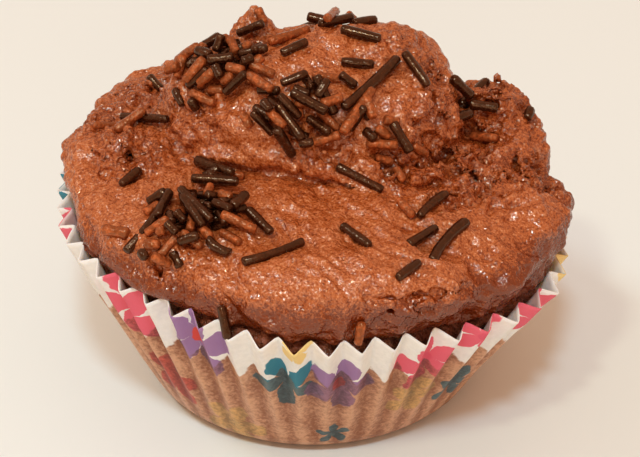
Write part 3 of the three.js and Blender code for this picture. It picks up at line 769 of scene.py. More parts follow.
def sponge_grid(settings):
    """The sponge: a dome, a rounded shoulder and a side that fills most of each pleat.

    The half section is a line of points spread evenly along its length. Each is moved out
    towards the ridges by its pleat's share, and then pushed about by noise, for an uneven
    crumb.
    """
    columns = settings.pleats * WRAPPER_COLUMNS
    side = cup_section(FOLD_RADIUS, RIDGE_HEIGHT + FOLD_RISE, SPONGE_INSET, (6, 6, 12))
    side = side[side[:, 1] < DOME_EDGE_HEIGHT - 2 * SPONGE_SHOULDER]
    edge = side[-1, 0] + 0.4
    radii = np.linspace(edge - SPONGE_SHOULDER, 0.5, 24)
    dome = np.stack((radii, dome_height(radii)), axis=1)
    line = np.concatenate((side[1:], [(edge, DOME_EDGE_HEIGHT - SPONGE_SHOULDER)], dome))
    length = np.concatenate(([0], np.cumsum(np.linalg.norm(np.diff(line, axis=0), axis=1))))
    even = np.linspace(0, length[-1], SPONGE_ROWS)
    radius = np.interp(even, length, line[:, 0])[:, None]
    height = np.interp(even, length, line[:, 1])[:, None]
    turn = np.arange(columns)[None] * TAU / columns
    angle = FIRST_FOLD + turn
    depth = (settings.ridge_radius / MM - FOLD_RADIUS) * np.clip(height / RIDGE_HEIGHT, 0, 1)
    filled = PLEAT_FILL * smooth_step(radius / radius.max(), 0.9, 1.0) + PLEAT_FILL * (height < 20)
    radius = radius + np.minimum(filled, PLEAT_FILL) * depth * pleat_share(turn, settings.pleats)
    points = np.stack(
        (radius * np.sin(angle), -radius * np.cos(angle), height + 0 * angle), axis=-1
    ).reshape(-1, 3)
    lumps = SPONGE_LUMPS[1] * layered_noise(points, SPONGE_LUMPS[0], 3, seed=21) - 0.05
    inward = points * (1, 1, 0) / np.maximum(np.linalg.norm(points[:, :2], axis=1), 1e-6)[:, None]
    high = smooth_step(points[:, 2], 18, 24)[:, None]
    points = points + lumps[:, None] * (inward * (1 - high) * 0.6 + high * (0, 0, 0.6))
    return points, (SPONGE_ROWS, columns)


def sponge_material(settings):
    """Dark moist crumb with small pores."""
    material, tree, shader = new_material("chocolate_sponge")
    place = tree.add("ShaderNodeTexCoord").outputs["Object"]
    crumb = tree.noise(place, CRUMB_SIZE, 4.0, 0.7)
    pores = tree.add("ShaderNodeTexVoronoi", {"Vector": place, "Scale": PORES}).outputs["Distance"]
    shade = tree.step(crumb, 0.35, 0.7)
    light = tuple(2.2 * value for value in settings.sponge)
    colour = tree.mix(shade, (*settings.sponge, 1), (*light, 1))
    tree.tree.links.new(colour, shader.inputs["Base Color"])
    tree.tree.links.new(tree.step(crumb, 0.3, 0.7, 0.15, 0.4), shader.inputs["Roughness"])
    shader.inputs["Specular IOR Level"].default_value = 0.9
    height = tree.sum("ADD", crumb, tree.sum("MULTIPLY", pores, 0.6))
    bumped(tree, shader, height, CRUMB_BUMP, 1.0)
    return material


class CUPCAKE_OT_sponge(bpy.types.Operator):
    """Builds the sponge in the wrapper"""

    bl_idname = "cupcake.sponge"
    bl_label = "Sponge"

    def execute(self, context):
        points, (rows, columns) = sponge_grid(context.scene.cupcake_wrapper)
        points = settle(points)
        count = len(points)
        first = np.arange(columns)
        points = np.vstack((points, points[first].mean(0), points[first + (rows - 1) * columns].mean(0)))
        faces = [
            fan_faces(count, first, True),
            ring_faces(rows, columns),
            fan_faces(count + 1, first + (rows - 1) * columns, False),
        ]
        material = sponge_material(context.scene.cupcake_cake)
        make_piece("cake_sponge", points, faces, material, "sponge")
        return {"FINISHED"}


# ---- Frosting ----------------------------------------------------------------------------------

NET_LOW = (-36.0, -35.5, 22.0)
NET_HIGH = (37.0, 36.0, 51.0)
MOST_TRIANGLES = 190000
BLOCK = 4  # fine cells along the side of a coarse block
RELIEF_ROOM = (0.3, 1.2)  # mm from sponge and rim where relief begins, and where it is full
FLOW_MIDDLE = (0.0, 4.0)
FLOW_RADIUS = 26.0
FLOW_SPIRAL = 0.85  # how far the strokes turn as they go outwards
# Relief: size and height in mm. Torn places add the third number to the height of clods, and
# the spread part adds it to the height of strokes.
LUMPS = (4.5, 0.85)
CLODS = (1.9, 0.4, 0.6)
BROAD_STROKES = (3.4, 0.1, 0.5)
FINE_STROKES = (1.4, 0.05, 0.5)
# Sizes of what shows in the frosting's colour and bumps, in metres.
STROKE_WIDTH = 0.0008
GRAIN_SIZE = 0.00045
CLOT_SIZE = 0.0013
FLECK_SIZE = 0.00028
TINT_SIZE = 0.0025
SHADE_SHARES = (0.4, 0.5, 0.1)  # of height (painted shade in hollows, painted highlight on crests), flecks and patches (random tone) in how light the frosting is
FOOT_PAINTED_SHADE = (0.028, 0.0325, 0.17)  # painted shade on the frosting's foot: heights (m) between which it fades out upwards, and its depth
# painted shade in the crevices of torn places
TORN_PAINTED_SHADE = 0.06
DEEP_SHADES = (0.36, 0.52)  # where the deep colour (painted shade, and random dark specks) ends, and where the frosting's own is reached
CREST_SHADES = (0.5, 0.66)  # and the same for its own and the crest colour (painted highlight, and random pale specks)


def spread_distance(points):
    """Distance to the spread layer: a superellipse over its bulge, a quarter round under it."""
    radius, angle, z = unsettle(points)
    ripple = sum(depth * np.sin(waves * angle + phase) for waves, depth, phase in EDGE_RIPPLES)
    radius = radius - ripple * np.minimum(radius / SPREAD_RADIUS, 1.2) ** 4
    thickness = SPREAD_THICKNESS[0] + SPREAD_THICKNESS[1] * np.cos(angle - THICK_SIDE)
    z = SPREAD_FOOT_HEIGHT + (z - SPREAD_FOOT_HEIGHT) / thickness
    out = np.maximum(radius, 0) / SPREAD_RADIUS
    rise = SPREAD_TOP - BULGE_HEIGHT
    up = np.maximum(z - BULGE_HEIGHT, 0) / rise
    share = np.maximum((out**SPREAD_SQUARE + up**SPREAD_SQUARE) ** (1 / SPREAD_SQUARE), 1e-3)
    slope = np.hypot((out / share) ** 2 / SPREAD_RADIUS, (up / share) ** 2 / rise)
    over = (share - 1) / np.maximum(slope, 1 / SPREAD_RADIUS)
    turn = np.degrees(angle)
    full = sum(
        smooth_step(half + FEET_FADE / 2 - np.abs(turn - middle), 0, FEET_FADE)
        for middle, half in FULL_FEET
    )
    foot = SPREAD_FOOT_RADIUS + (FULL_FOOT_RADIUS - SPREAD_FOOT_RADIUS) * full
    width = SPREAD_RADIUS - foot
    drop = BULGE_HEIGHT - SPREAD_FOOT_HEIGHT
    corner = np.hypot(np.maximum(radius - foot, 0) / width, (BULGE_HEIGHT - z) / drop)
    below = np.maximum((corner - 1) * width, SPREAD_FOOT_HEIGHT - z)
    return np.where(z >= BULGE_HEIGHT, over, below)


def heap_distance(points, middle, half):
    """Near an ellipsoid, about the distance to it: k (k - 1) / m, where k is the length of
    the point over the half sizes and m that over their squares."""
    away = points - np.array(middle, np.float32)
    first = np.linalg.norm(away / half, axis=1)
    second = np.linalg.norm(away / np.square(half), axis=1)
    return first * (first - 1) / np.maximum(second, 1e-4)


def line_distance(points, line, first_radius, last_radius):
    """Distance to a rod along a line of points, its radius changing evenly between its ends."""
    line = np.array(line, np.float32)
    best = np.full(len(points), np.inf, np.float32)
    radii = np.linspace(first_radius, last_radius, len(line))
    for start, end, near, far in zip(line[:-1], line[1:], radii[:-1], radii[1:]):
        way = end - start
        share = np.clip((points - start) @ way / (way @ way), 0, 1)
        away = np.linalg.norm(points - start - share[:, None] * way, axis=1)
        best = np.minimum(best, away - (near + (far - near) * share))
    return best


def roughness(points):
    """How torn the frosting is at points, from 0 to 1."""
    total = np.zeros(len(points), np.float32)
    for middle, radius, strength in TORN:
        away = np.linalg.norm(points - np.array(middle, np.float32), axis=1)
        total = np.maximum(total, strength * smooth_step(-away, -radius, -0.35 * radius))
    return total


def cup_room_distance(points):
    """Distance to the room that the sponge and the paper rim keep clear of frosting."""
    radius, _, z = unsettle(points)
    over_dome = z - (dome_height(radius) + 0.35)
    over_rim = z - RIM_ROOM[1]
    return np.where(radius > RIM_ROOM[0], over_rim, over_dome)


def frosting_distance(points):
    """Distance to the frosting's surface, negative inside it, at points in mm.

    Noise pushes the points about first. Heaps and ridges are joined to the spread layer and
    cuts are taken out of it, with softened corners. Torn places get ridged noise, a constant
    less two smooth noises without their signs. The room for sponge and rim comes off last.
    """
    warp = np.stack([noise(points, 6.0, seed) for seed in (31, 32, 33)], axis=1)
    ragged = np.stack([noise(points, 2.6, seed) for seed in (41, 42, 43)], axis=1)
    torn = roughness(points)
    moved = points + 1.5 * warp + (0.5 + 0.9 * torn)[:, None] * ragged
    body = spread_distance(points + 0.8 * warp + (0.6 * torn)[:, None] * ragged)
    for middle, half, blend in HEAPS:
        body = smooth_union(body, heap_distance(moved, middle, half), blend)
    shifted = points + 0.5 * ragged
    for rods, join in ((RIDGES, smooth_union), (CUTS, smooth_cut)):
        for line, first_radius, last_radius, blend in rods:
            reach = max(first_radius, last_radius) + blend + 1.5
            low, high = np.min(line, axis=0) - reach, np.max(line, axis=0) + reach
            near = np.all((points > low) & (points < high), axis=1)
            rod = line_distance(shifted[near], line, first_radius, last_radius)
            body[near] = join(body[near], rod, blend)
    near = (torn > 0.02) & (np.abs(body) < 2.5)
    sharp = 0.7 - 3.6 * np.abs(noise(points[near], 2.8, 81)) - 2.2 * np.abs(noise(points[near], 1.4, 82))
    body[near] -= torn[near] * sharp
    return smooth_cut(body, cup_room_distance(points), 0.4)


def surface_net(step):
    """The surface where the frosting's distance is nil, as points and four-cornered faces.

    Distances are worked out in coarse blocks first, and at every fine grid point only in
    blocks that the surface may pass through. Each fine cell with corners on both sides
    gets one point, the mean of the places where its edges cross the surface. Each edge
    that crosses it gets one face, between its four neighbouring cells.
    """
    low, high = np.array(NET_LOW), np.array(NET_HIGH)
    blocks = np.ceil((high - low) / (step * BLOCK)).astype(int)
    middles = np.stack(np.meshgrid(*(np.arange(n) for n in blocks), indexing="ij"), axis=-1)
    middles = low + (middles + 0.5) * step * BLOCK
    coarse = frosting_distance(middles.reshape(-1, 3).astype(np.float32)).reshape(blocks)
    near = np.abs(coarse) < step * BLOCK * 0.9 + 1.0
    field = np.empty((blocks[0], BLOCK, blocks[1], BLOCK, blocks[2], BLOCK), np.float32)
    field[:] = coarse[:, None, :, None, :, None]
    inner = np.stack(np.meshgrid(*(np.arange(BLOCK),) * 3, indexing="ij"), axis=-1)
    corners = np.argwhere(near) * BLOCK
    spots = (corners[:, None] + inner.reshape(1, -1, 3)).reshape(-1, 3)
    values = frosting_distance((low + spots * step).astype(np.float32))
    view = field.transpose(0, 2, 4, 1, 3, 5)
    view[near] = values.reshape(-1, BLOCK, BLOCK, BLOCK)
    field = field.reshape(blocks * BLOCK)

    inside = field < 0
    size = np.array(field.shape) - 1

    def corner_of(array, offset):
        cut = tuple(slice(o, o + n) for o, n in zip(offset, size))
        return array[cut]

    offsets = [(i, j, k) for i in (0, 1) for j in (0, 1) for k in (0, 1)]
    count = sum(corner_of(inside, offset).astype(np.int8) for offset in offsets)
    active = (count > 0) & (count < 8)
    cells = np.argwhere(active)
    index = np.full(size, -1, np.int64)
    index[active] = np.arange(len(cells))
    total = np.zeros((len(cells), 3))
    hits = np.zeros(len(cells))
    for a in offsets:
        for axis in range(3):
            if a[axis]:
                continue
            b = tuple(1 if k == axis else a[k] for k in range(3))
            first = corner_of(field, a)[active]
            second = corner_of(field, b)[active]
            crossing = (first < 0) != (second < 0)
            share = first[crossing] / (first[crossing] - second[crossing])
            total[crossing] += np.array(a) + share[:, None] * (np.array(b) - a)
            hits += crossing
    points = low + (cells + total / hits[:, None]) * step

    faces = []
    for axis in range(3):
        one, two = (axis + 1) % 3, (axis + 2) % 3
        along = [slice(None)] * 3
        along[axis] = slice(0, -1)
        after = [slice(None)] * 3
        after[axis] = slice(1, None)
        change = inside[tuple(along)] != inside[tuple(after)]
        edges = np.argwhere(change)
        edges = edges[(edges[:, one] > 0) & (edges[:, two] > 0)]
        edges = edges[(edges[:, one] < size[one]) & (edges[:, two] < size[two])]
        around = []
        for back_one, back_two in ((1, 1), (0, 1), (0, 0), (1, 0)):
            cell = edges.copy()
            cell[:, one] -= back_one
            cell[:, two] -= back_two
            around.append(index[tuple(cell.T)])
        quads = np.stack(around, axis=1)
        leaving = inside[tuple(edges.T)]
        quads[~leaving] = quads[~leaving][:, ::-1]
        faces.append(quads)
    return points, np.concatenate(faces)


def point_normals(points, faces):
    """Outward directions at the points of four-cornered faces, from the faces' diagonals."""
    across = points[faces[:, 2]] - points[faces[:, 0]]
    other = points[faces[:, 3]] - points[faces[:, 1]]
    normals = np.cross(across, other)
    total = np.zeros_like(points)
    for corner in range(4):
        for axis in range(3):
            total[:, axis] += np.bincount(faces[:, corner], normals[:, axis], len(points))
    return total / np.maximum(np.linalg.norm(total, axis=1, keepdims=True), 1e-9)


def smoothed(points, faces, rounds, share):
    """Moves every point by a share of the way to the mean of its neighbours."""
    start = faces.ravel()
    end = np.roll(faces, -1, axis=1).ravel()
    count = np.bincount(start, minlength=len(points)) + np.bincount(end, minlength=len(points))
    for _ in range(rounds):
        total = np.zeros_like(points)
        for axis in range(3):
            total[:, axis] = np.bincount(start, points[end, axis], len(points))
            total[:, axis] += np.bincount(end, points[start, axis], len(points))
        points = points + share * (total / count[:, None] - points)
    return points


def flow_places(points):
    """Where points lie along and across the strokes that spread the frosting.

    The strokes are spirals round the mound, bent a little by noise. Each spiral has its own
    turn, the angle less FLOW_SPIRAL times the logarithm of the radius. The first two numbers
    are that turn's place on a circle, and the third is the way along the stroke.
    """
    x = points[:, 0] - FLOW_MIDDLE[0]
    y = points[:, 1] - FLOW_MIDDLE[1]
    reach = np.hypot(x, y) + 3
    turn = np.arctan2(x, -y) - FLOW_SPIRAL * np.log(reach / FLOW_RADIUS) + 0.25 * noise(points, 12.0, 51)
    along = reach - 0.8 * points[:, 2]
    return np.stack((FLOW_RADIUS * np.cos(turn), FLOW_RADIUS * np.sin(turn), along), axis=1)


def spread_share(points, torn):
    """How much the strokes show at points: only well out from the mound, and not where it's torn."""
    reach = np.hypot(points[:, 0] - FLOW_MIDDLE[0], points[:, 1] - FLOW_MIDDLE[1])
    return smooth_step(reach, 14, 24) * (1 - torn)


def frosting_relief(points, flow):
    """Height in mm of the lumps and spreading strokes on the frosting."""
    torn = roughness(points)
    outer = spread_share(points, torn)
    lumps = LUMPS[1] * layered_noise(points, LUMPS[0], 3, seed=61, fall=0.55)
    clods = (CLODS[1] + CLODS[2] * torn) * layered_noise(points, CLODS[0], 2, seed=65, fall=0.6)
    broad = noise(flow * (1, 1, 0.2), BROAD_STROKES[0], 70)
    broad = (BROAD_STROKES[1] + BROAD_STROKES[2] * outer) * broad
    fine = layered_noise(flow * (1, 1, 0.22), FINE_STROKES[0], 2, seed=71, fall=0.7)
    fine = (FINE_STROKES[1] + FINE_STROKES[2] * outer) * fine
    return lumps + clods + broad + fine


def frosting_material(settings):
    """Moist milk-chocolate frosting: a sugary grain, short strokes and bright wet glints.

    One height, of strokes, grain and finer specks, makes the bumps. The same height paints
    shade into the colour of the hollows between them and a painted highlight onto their
    crests, mixed with random darker and paler specks. The foot and the torn places get
    painted shade too.
    """
    material, tree, shader = new_material("chocolate_frosting")
    place = tree.add("ShaderNodeTexCoord").outputs["Object"]
    flow = tree.add("ShaderNodeAttribute", attribute_name="flow").outputs["Vector"]
    torn = tree.add("ShaderNodeAttribute", attribute_name="torn").outputs["Fac"]
    spread = tree.add("ShaderNodeAttribute", attribute_name="spread").outputs["Fac"]
    across = tree.add("ShaderNodeMapping", {"Vector": flow, "Scale": (1, 1, 0.25)}).outputs[0]
    strokes = tree.noise(across, STROKE_WIDTH, 1.0, 0.5)
    grain = tree.noise(place, GRAIN_SIZE, 1.0, 0.5)
    clots = tree.noise(place, CLOT_SIZE, 1.0, 0.5)
    bed = tree.add("ShaderNodeMix", {0: spread, 2: clots, 3: strokes}, data_type="FLOAT").outputs[0]
    height = tree.sum("ADD", tree.sum("MULTIPLY", grain, 0.6), tree.sum("MULTIPLY", bed, 0.4))
    flecks = tree.noise(place, FLECK_SIZE, 2.0, 0.7)
    patches = tree.noise(place, TINT_SIZE, 3.0, 0.6)
    high, fine, broad = (
        tree.sum("MULTIPLY", value, share) for value, share in zip((height, flecks, patches), SHADE_SHARES)
    )
    shade = tree.sum("ADD", tree.sum("ADD", high, fine), broad)
    height_above = tree.add("ShaderNodeSeparateXYZ", {0: place}).outputs[2]
    # Painted shade: the foot of the frosting is darker, fading out upwards.
    shade = tree.sum("SUBTRACT", shade, tree.step(height_above, *FOOT_PAINTED_SHADE, 0.0))
    # Painted shade: torn places are darker, for their crevices.
    shade = tree.sum("SUBTRACT", shade, tree.sum("MULTIPLY", torn, TORN_PAINTED_SHADE))
    # Where the shade value is low (hollows, the foot, torn places), the colour goes to the deep one as
    # painted shade. Where it is high (crests), it goes to the crest one as a painted highlight. Flecks and
    # patches add random tone.
    light = tree.step(shade, *DEEP_SHADES)
    colour = tree.mix(light, (*settings.frosting_dark_specks_and_shade, 1), (*settings.frosting, 1))
    colour = tree.mix(tree.step(shade, *CREST_SHADES), colour, (*settings.frosting_pale_specks_and_highlight, 1))
    tree.tree.links.new(colour, shader.inputs["Base Color"])
    tree.tree.links.new(tree.step(flecks, 0.35, 0.6, 0.2, 0.08), shader.inputs["Roughness"])
    shader.inputs["Specular IOR Level"].default_value = 1.0
    shader.inputs["Specular Tint"].default_value = (*settings.gloss, 1)
    bumped(tree, shader, height, settings.relief, 1.0)
    return material


class CUPCAKE_OT_frosting(bpy.types.Operator):
    """Builds the heaped frosting"""

    bl_idname = "cupcake.frosting"
    bl_label = "Frosting"

    def execute(self, context):
        settings = context.scene.cupcake_cake
        points, faces = surface_net(settings.cell / MM)
        points = smoothed(points, faces, 1, 0.4)
        normals = point_normals(points, faces)
        flow = flow_places(points)
        room = cup_room_distance(points)
        keep = smooth_step(room, *RELIEF_ROOM)
        points = points + (keep * frosting_relief(points, flow))[:, None] * normals
        material = frosting_material(settings)
        piece = make_piece(
            "heaped_frosting", points, [faces], material, "frosting"
        )
        torn = roughness(points)
        point_values(piece.data, "torn", torn)
        point_values(piece.data, "spread", spread_share(points, torn))
        attribute = piece.data.attributes.new("flow", "FLOAT_VECTOR", "POINT")
        attribute.data.foreach_set("vector", (flow * MM).astype(np.float32).ravel())
        hidden = piece.vertex_groups.new(name="underside")
        hidden.add(np.flatnonzero(room < RELIEF_ROOM[0]).tolist(), 1.0, "REPLACE")
        thin = piece.modifiers.new("thin the underside", "DECIMATE")
        thin.vertex_group = "underside"
        thin.ratio = min(1.0, MOST_TRIANGLES / (2 * len(faces)))
        return {"FINISHED"}


# ---- Chocolate strands -------------------------------------------------------------------------

STRAND_SINK = 0.45  # share of the radius pressed into the frosting
STRAND_SPREAD = 0.06  # radii differ by this much either way, in mm
STRAND_SIDES = 16
STRAND_RIDGES = 0.06  # share of the radius that every other side stands out by
THICKNESS_WANDER = 0.06  # how far a strand's radius strays along it, as a share
TIP_STEPS = ((0.0, 0.0), (0.02, 0.55), (0.12, 0.86), (0.38, 1.0))  # mm from the end, share of radius
BODY_RINGS = 6
STACK_STEP = 0.15  # crossing strands are tilted up in steps of this
STACK_STEPS = 14  # a strand that needs this many is left out
STACK_CONTACT = 0.75  # they press into each other a little
NEAR_END = 0.35  # a crossing within this part of the length tilts that end only
STRAND_SEED = 7

SIGHTS = 25  # places along a strand where its bed is looked up
SIGHT_CONTACT = 1.16  # how close the middle lines of crossing strands should come, in mm
LEAST_FACING = 0.35  # least cosine reckoned with between a line of sight and the frosting's normal
SINK_ALLOWED = 0.12  # how far a strand may sink into its bed before that counts, in mm
DROPS = range(4, 30, 2)  # how far below a strand beside the frosting its bed is sought, in pixels
STEEPEST = 0.75  # the most that a strand may change in depth, over its width in the view
# How far an end may come in front of its place on the frosting, in mm: with no strand below it,
# and with some. STEEPEST goes before both.
LOOSE_LIFT = 1.3
STACKED_LIFT = 3.4

# Strands that show in the front view, the lowest first: both ends in pixels of a picture of
# VIEW_SIZE, and the sideways bow in mm.
SEEN_STRANDS = (
    ("cocoa", (
        (257, 8, 265, 23, 0), (345.7, 13.3, 355.4, 21.8, 0), (229.5, 38, 236.7, 53, 0),
        (268.5, 41.8, 309, 29.5, 0), (183.5, 55, 176.5, 77.5, 0), (249.5, 64, 274.5, 75, 0),
        (226.5, 66.3, 244, 70.5, 0), (165.5, 70.5, 178.5, 65.5, 0), (247, 74, 272.5, 89.7, 0),
        (184.5, 81.5, 205, 58, 0), (221.5, 81.5, 233.5, 75.5, 0), (198, 84.5, 215, 69.5, 0),
        (190, 91.8, 215, 104, 0), (321, 104, 342.5, 97, 0), (267.5, 109, 284.5, 127, 0),
        (241, 111.5, 250.5, 127, 0), (319.5, 112.5, 339, 129.5, 0), (375.5, 127, 390, 137, 0),
        (470.5, 135.5, 498, 138.5, 0), (313.5, 143, 340, 134.5, 0), (366, 143, 398, 145.2, 0),
        (412.5, 145, 427.5, 155, 0), (395, 167, 404, 182, 0), (211, 184, 206.5, 196, 0),
        (218.7, 193, 232, 197.5, 0), (398.5, 199.5, 413.5, 216.5, 0), (221, 213.5, 256.5, 230, 0),
        (102, 229.5, 129, 233, 0), (157, 234, 164, 228, 0), (144, 243.5, 160, 245, 0),
        (152, 255, 170, 265, 0),
    )),
    ("dark", (
        (307, 16, 335, 23.5, 0), (264, 23, 237, 33.5, 0), (353, 23, 376, 19.5, 0),
        (341, 29, 381, 39, 0), (221.5, 34, 216, 52, 0), (196, 50, 211, 55, 0),
        (281, 53.5, 307.5, 41, 0), (238.5, 54.5, 267.5, 47.5, 0), (207, 60, 233.5, 57, 0),
        (341, 61.5, 374, 64.5, 0), (241.8, 62, 253, 57, 0), (215, 65, 221, 77.5, 0),
        (340, 74, 356, 86, 0), (452, 77.5, 471.5, 96.5, 0), (174.5, 89, 183.5, 105, 0),
        (224.5, 93, 246, 72.5, 0), (190, 99, 197, 110, 0), (263, 101, 270, 110, 0),
        (277, 104, 303, 140, 0), (469.5, 104, 498, 108, 0), (252, 111.5, 273.5, 134, 0),
        (121, 116.3, 168, 119.2, 0), (307.5, 117.5, 329.5, 133, 0), (456, 118, 472, 113, 0),
        (527, 119, 531, 108, 0), (392.5, 122.5, 410.5, 152.5, 0), (276, 128.5, 293, 156, 0),
        (364.5, 130, 375.5, 139.5, 0), (299, 144, 313.5, 142, 0), (120.6, 185, 140, 169.5, 0),
        (182.5, 195, 203, 226, 0), (213, 202, 231, 209, 0), (232, 207, 247, 193.5, 0),
        (247, 209, 271.5, 233, 0), (175, 210.5, 185, 221.5, 0), (166, 222, 177, 233, 0),
        (342, 225.5, 370, 246, 0), (207, 238, 231, 253, -0.6), (177.5, 242, 199, 235, 0),
        (408, 245, 436.5, 227.5, 0), (140, 251, 146, 258, 0), (171.5, 252, 180, 267.5, 0.2),
        (242, 262, 304, 241, -0.4), (397.5, 278, 419.5, 262, 0),
    )),
    ("cocoa", (
        (373, 88.5, 342.5, 133, 0),
    )),
    ("dark", (
        (328, 79, 317, 97, 0), (398, 58, 343, 108, 0.25), (404, 52, 428, 86, 0),
        (291, 92, 327, 111.5, 0), (278.5, 94.5, 300, 117.5, 0), (180, 188, 211.5, 220, 0),
        (191, 178, 239, 181.5, 0), (196, 160, 233, 173, 0), (125.5, 252, 170.5, 190, -0.5),
        (336.5, 166, 383, 190.5, 0), (419, 216.5, 447, 193, 0.3), (432, 262, 467, 221, 0.6),
    )),
)
# Strands that hang over the front edge of the frosting, in the same pixels.
HANGING_STRANDS = (("dark", (221, 306, 228, 339)), ("cocoa", (362, 322, 358, 345)))
HANGING_DEPTHS = (-0.2, 1.0)  # of the upper and lower ends, from the frosting at the upper one

# The lowest strands of each heap: middle, half spread, heading, how many are tried, lengths,
# and the share with a cocoa coat.
STRAND_HEAPS = (
    ((-12.5, 4.5), (6.5, 4.5), 15, 90, (1.8, 3.4), 0.4),
    ((-1.5, -5), (5.5, 3.5), -40, 80, (2.0, 3.8), 0.3),
    ((8.5, -7), (4, 1.8), -10, 18, (1.8, 3.0), 0.6),
    ((-15, -18.5), (6.5, 5.5), -30, 120, (1.8, 3.4), 0.35),
    ((-12.5, -10), (3, 1.5), 0, 14, (1.8, 3.4), 0.3),
)
HEAP_SCATTER = 150  # whole range of headings in a heap, in degrees
# Strands tried on the far side, between two distances from the middle.
BACK_STRANDS = {"count": 45, "reach": (10, 28), "width": 85, "length": (2.4, 6.5), "cocoa": 0.35}


def resting_line(shares, depths):
    """The straight line that lies closest in front of depths along a strand, as its ends."""
    middle = (shares[0] + shares[-1]) / 2
    first, last = np.meshgrid(np.flatnonzero(shares <= middle), np.flatnonzero(shares >= middle))
    apart = shares[last] - shares[first] >= 0.2
    first, last = first[apart], last[apart]
    slope = (depths[last] - depths[first]) / (shares[last] - shares[first])
    line = depths[first][:, None] + slope[:, None] * (shares - shares[first][:, None])
    sunk = np.maximum(line - depths - SINK_ALLOWED, 0).sum(axis=1)
    bridged = np.clip(depths - line, 0, 1.5).sum(axis=1)
    best = np.argmin(6 * sunk + bridged + 0.02 * np.abs(slope))
    start = depths[first[best]] - slope[best] * shares[first[best]]
    return np.array((start, start + slope[best]))


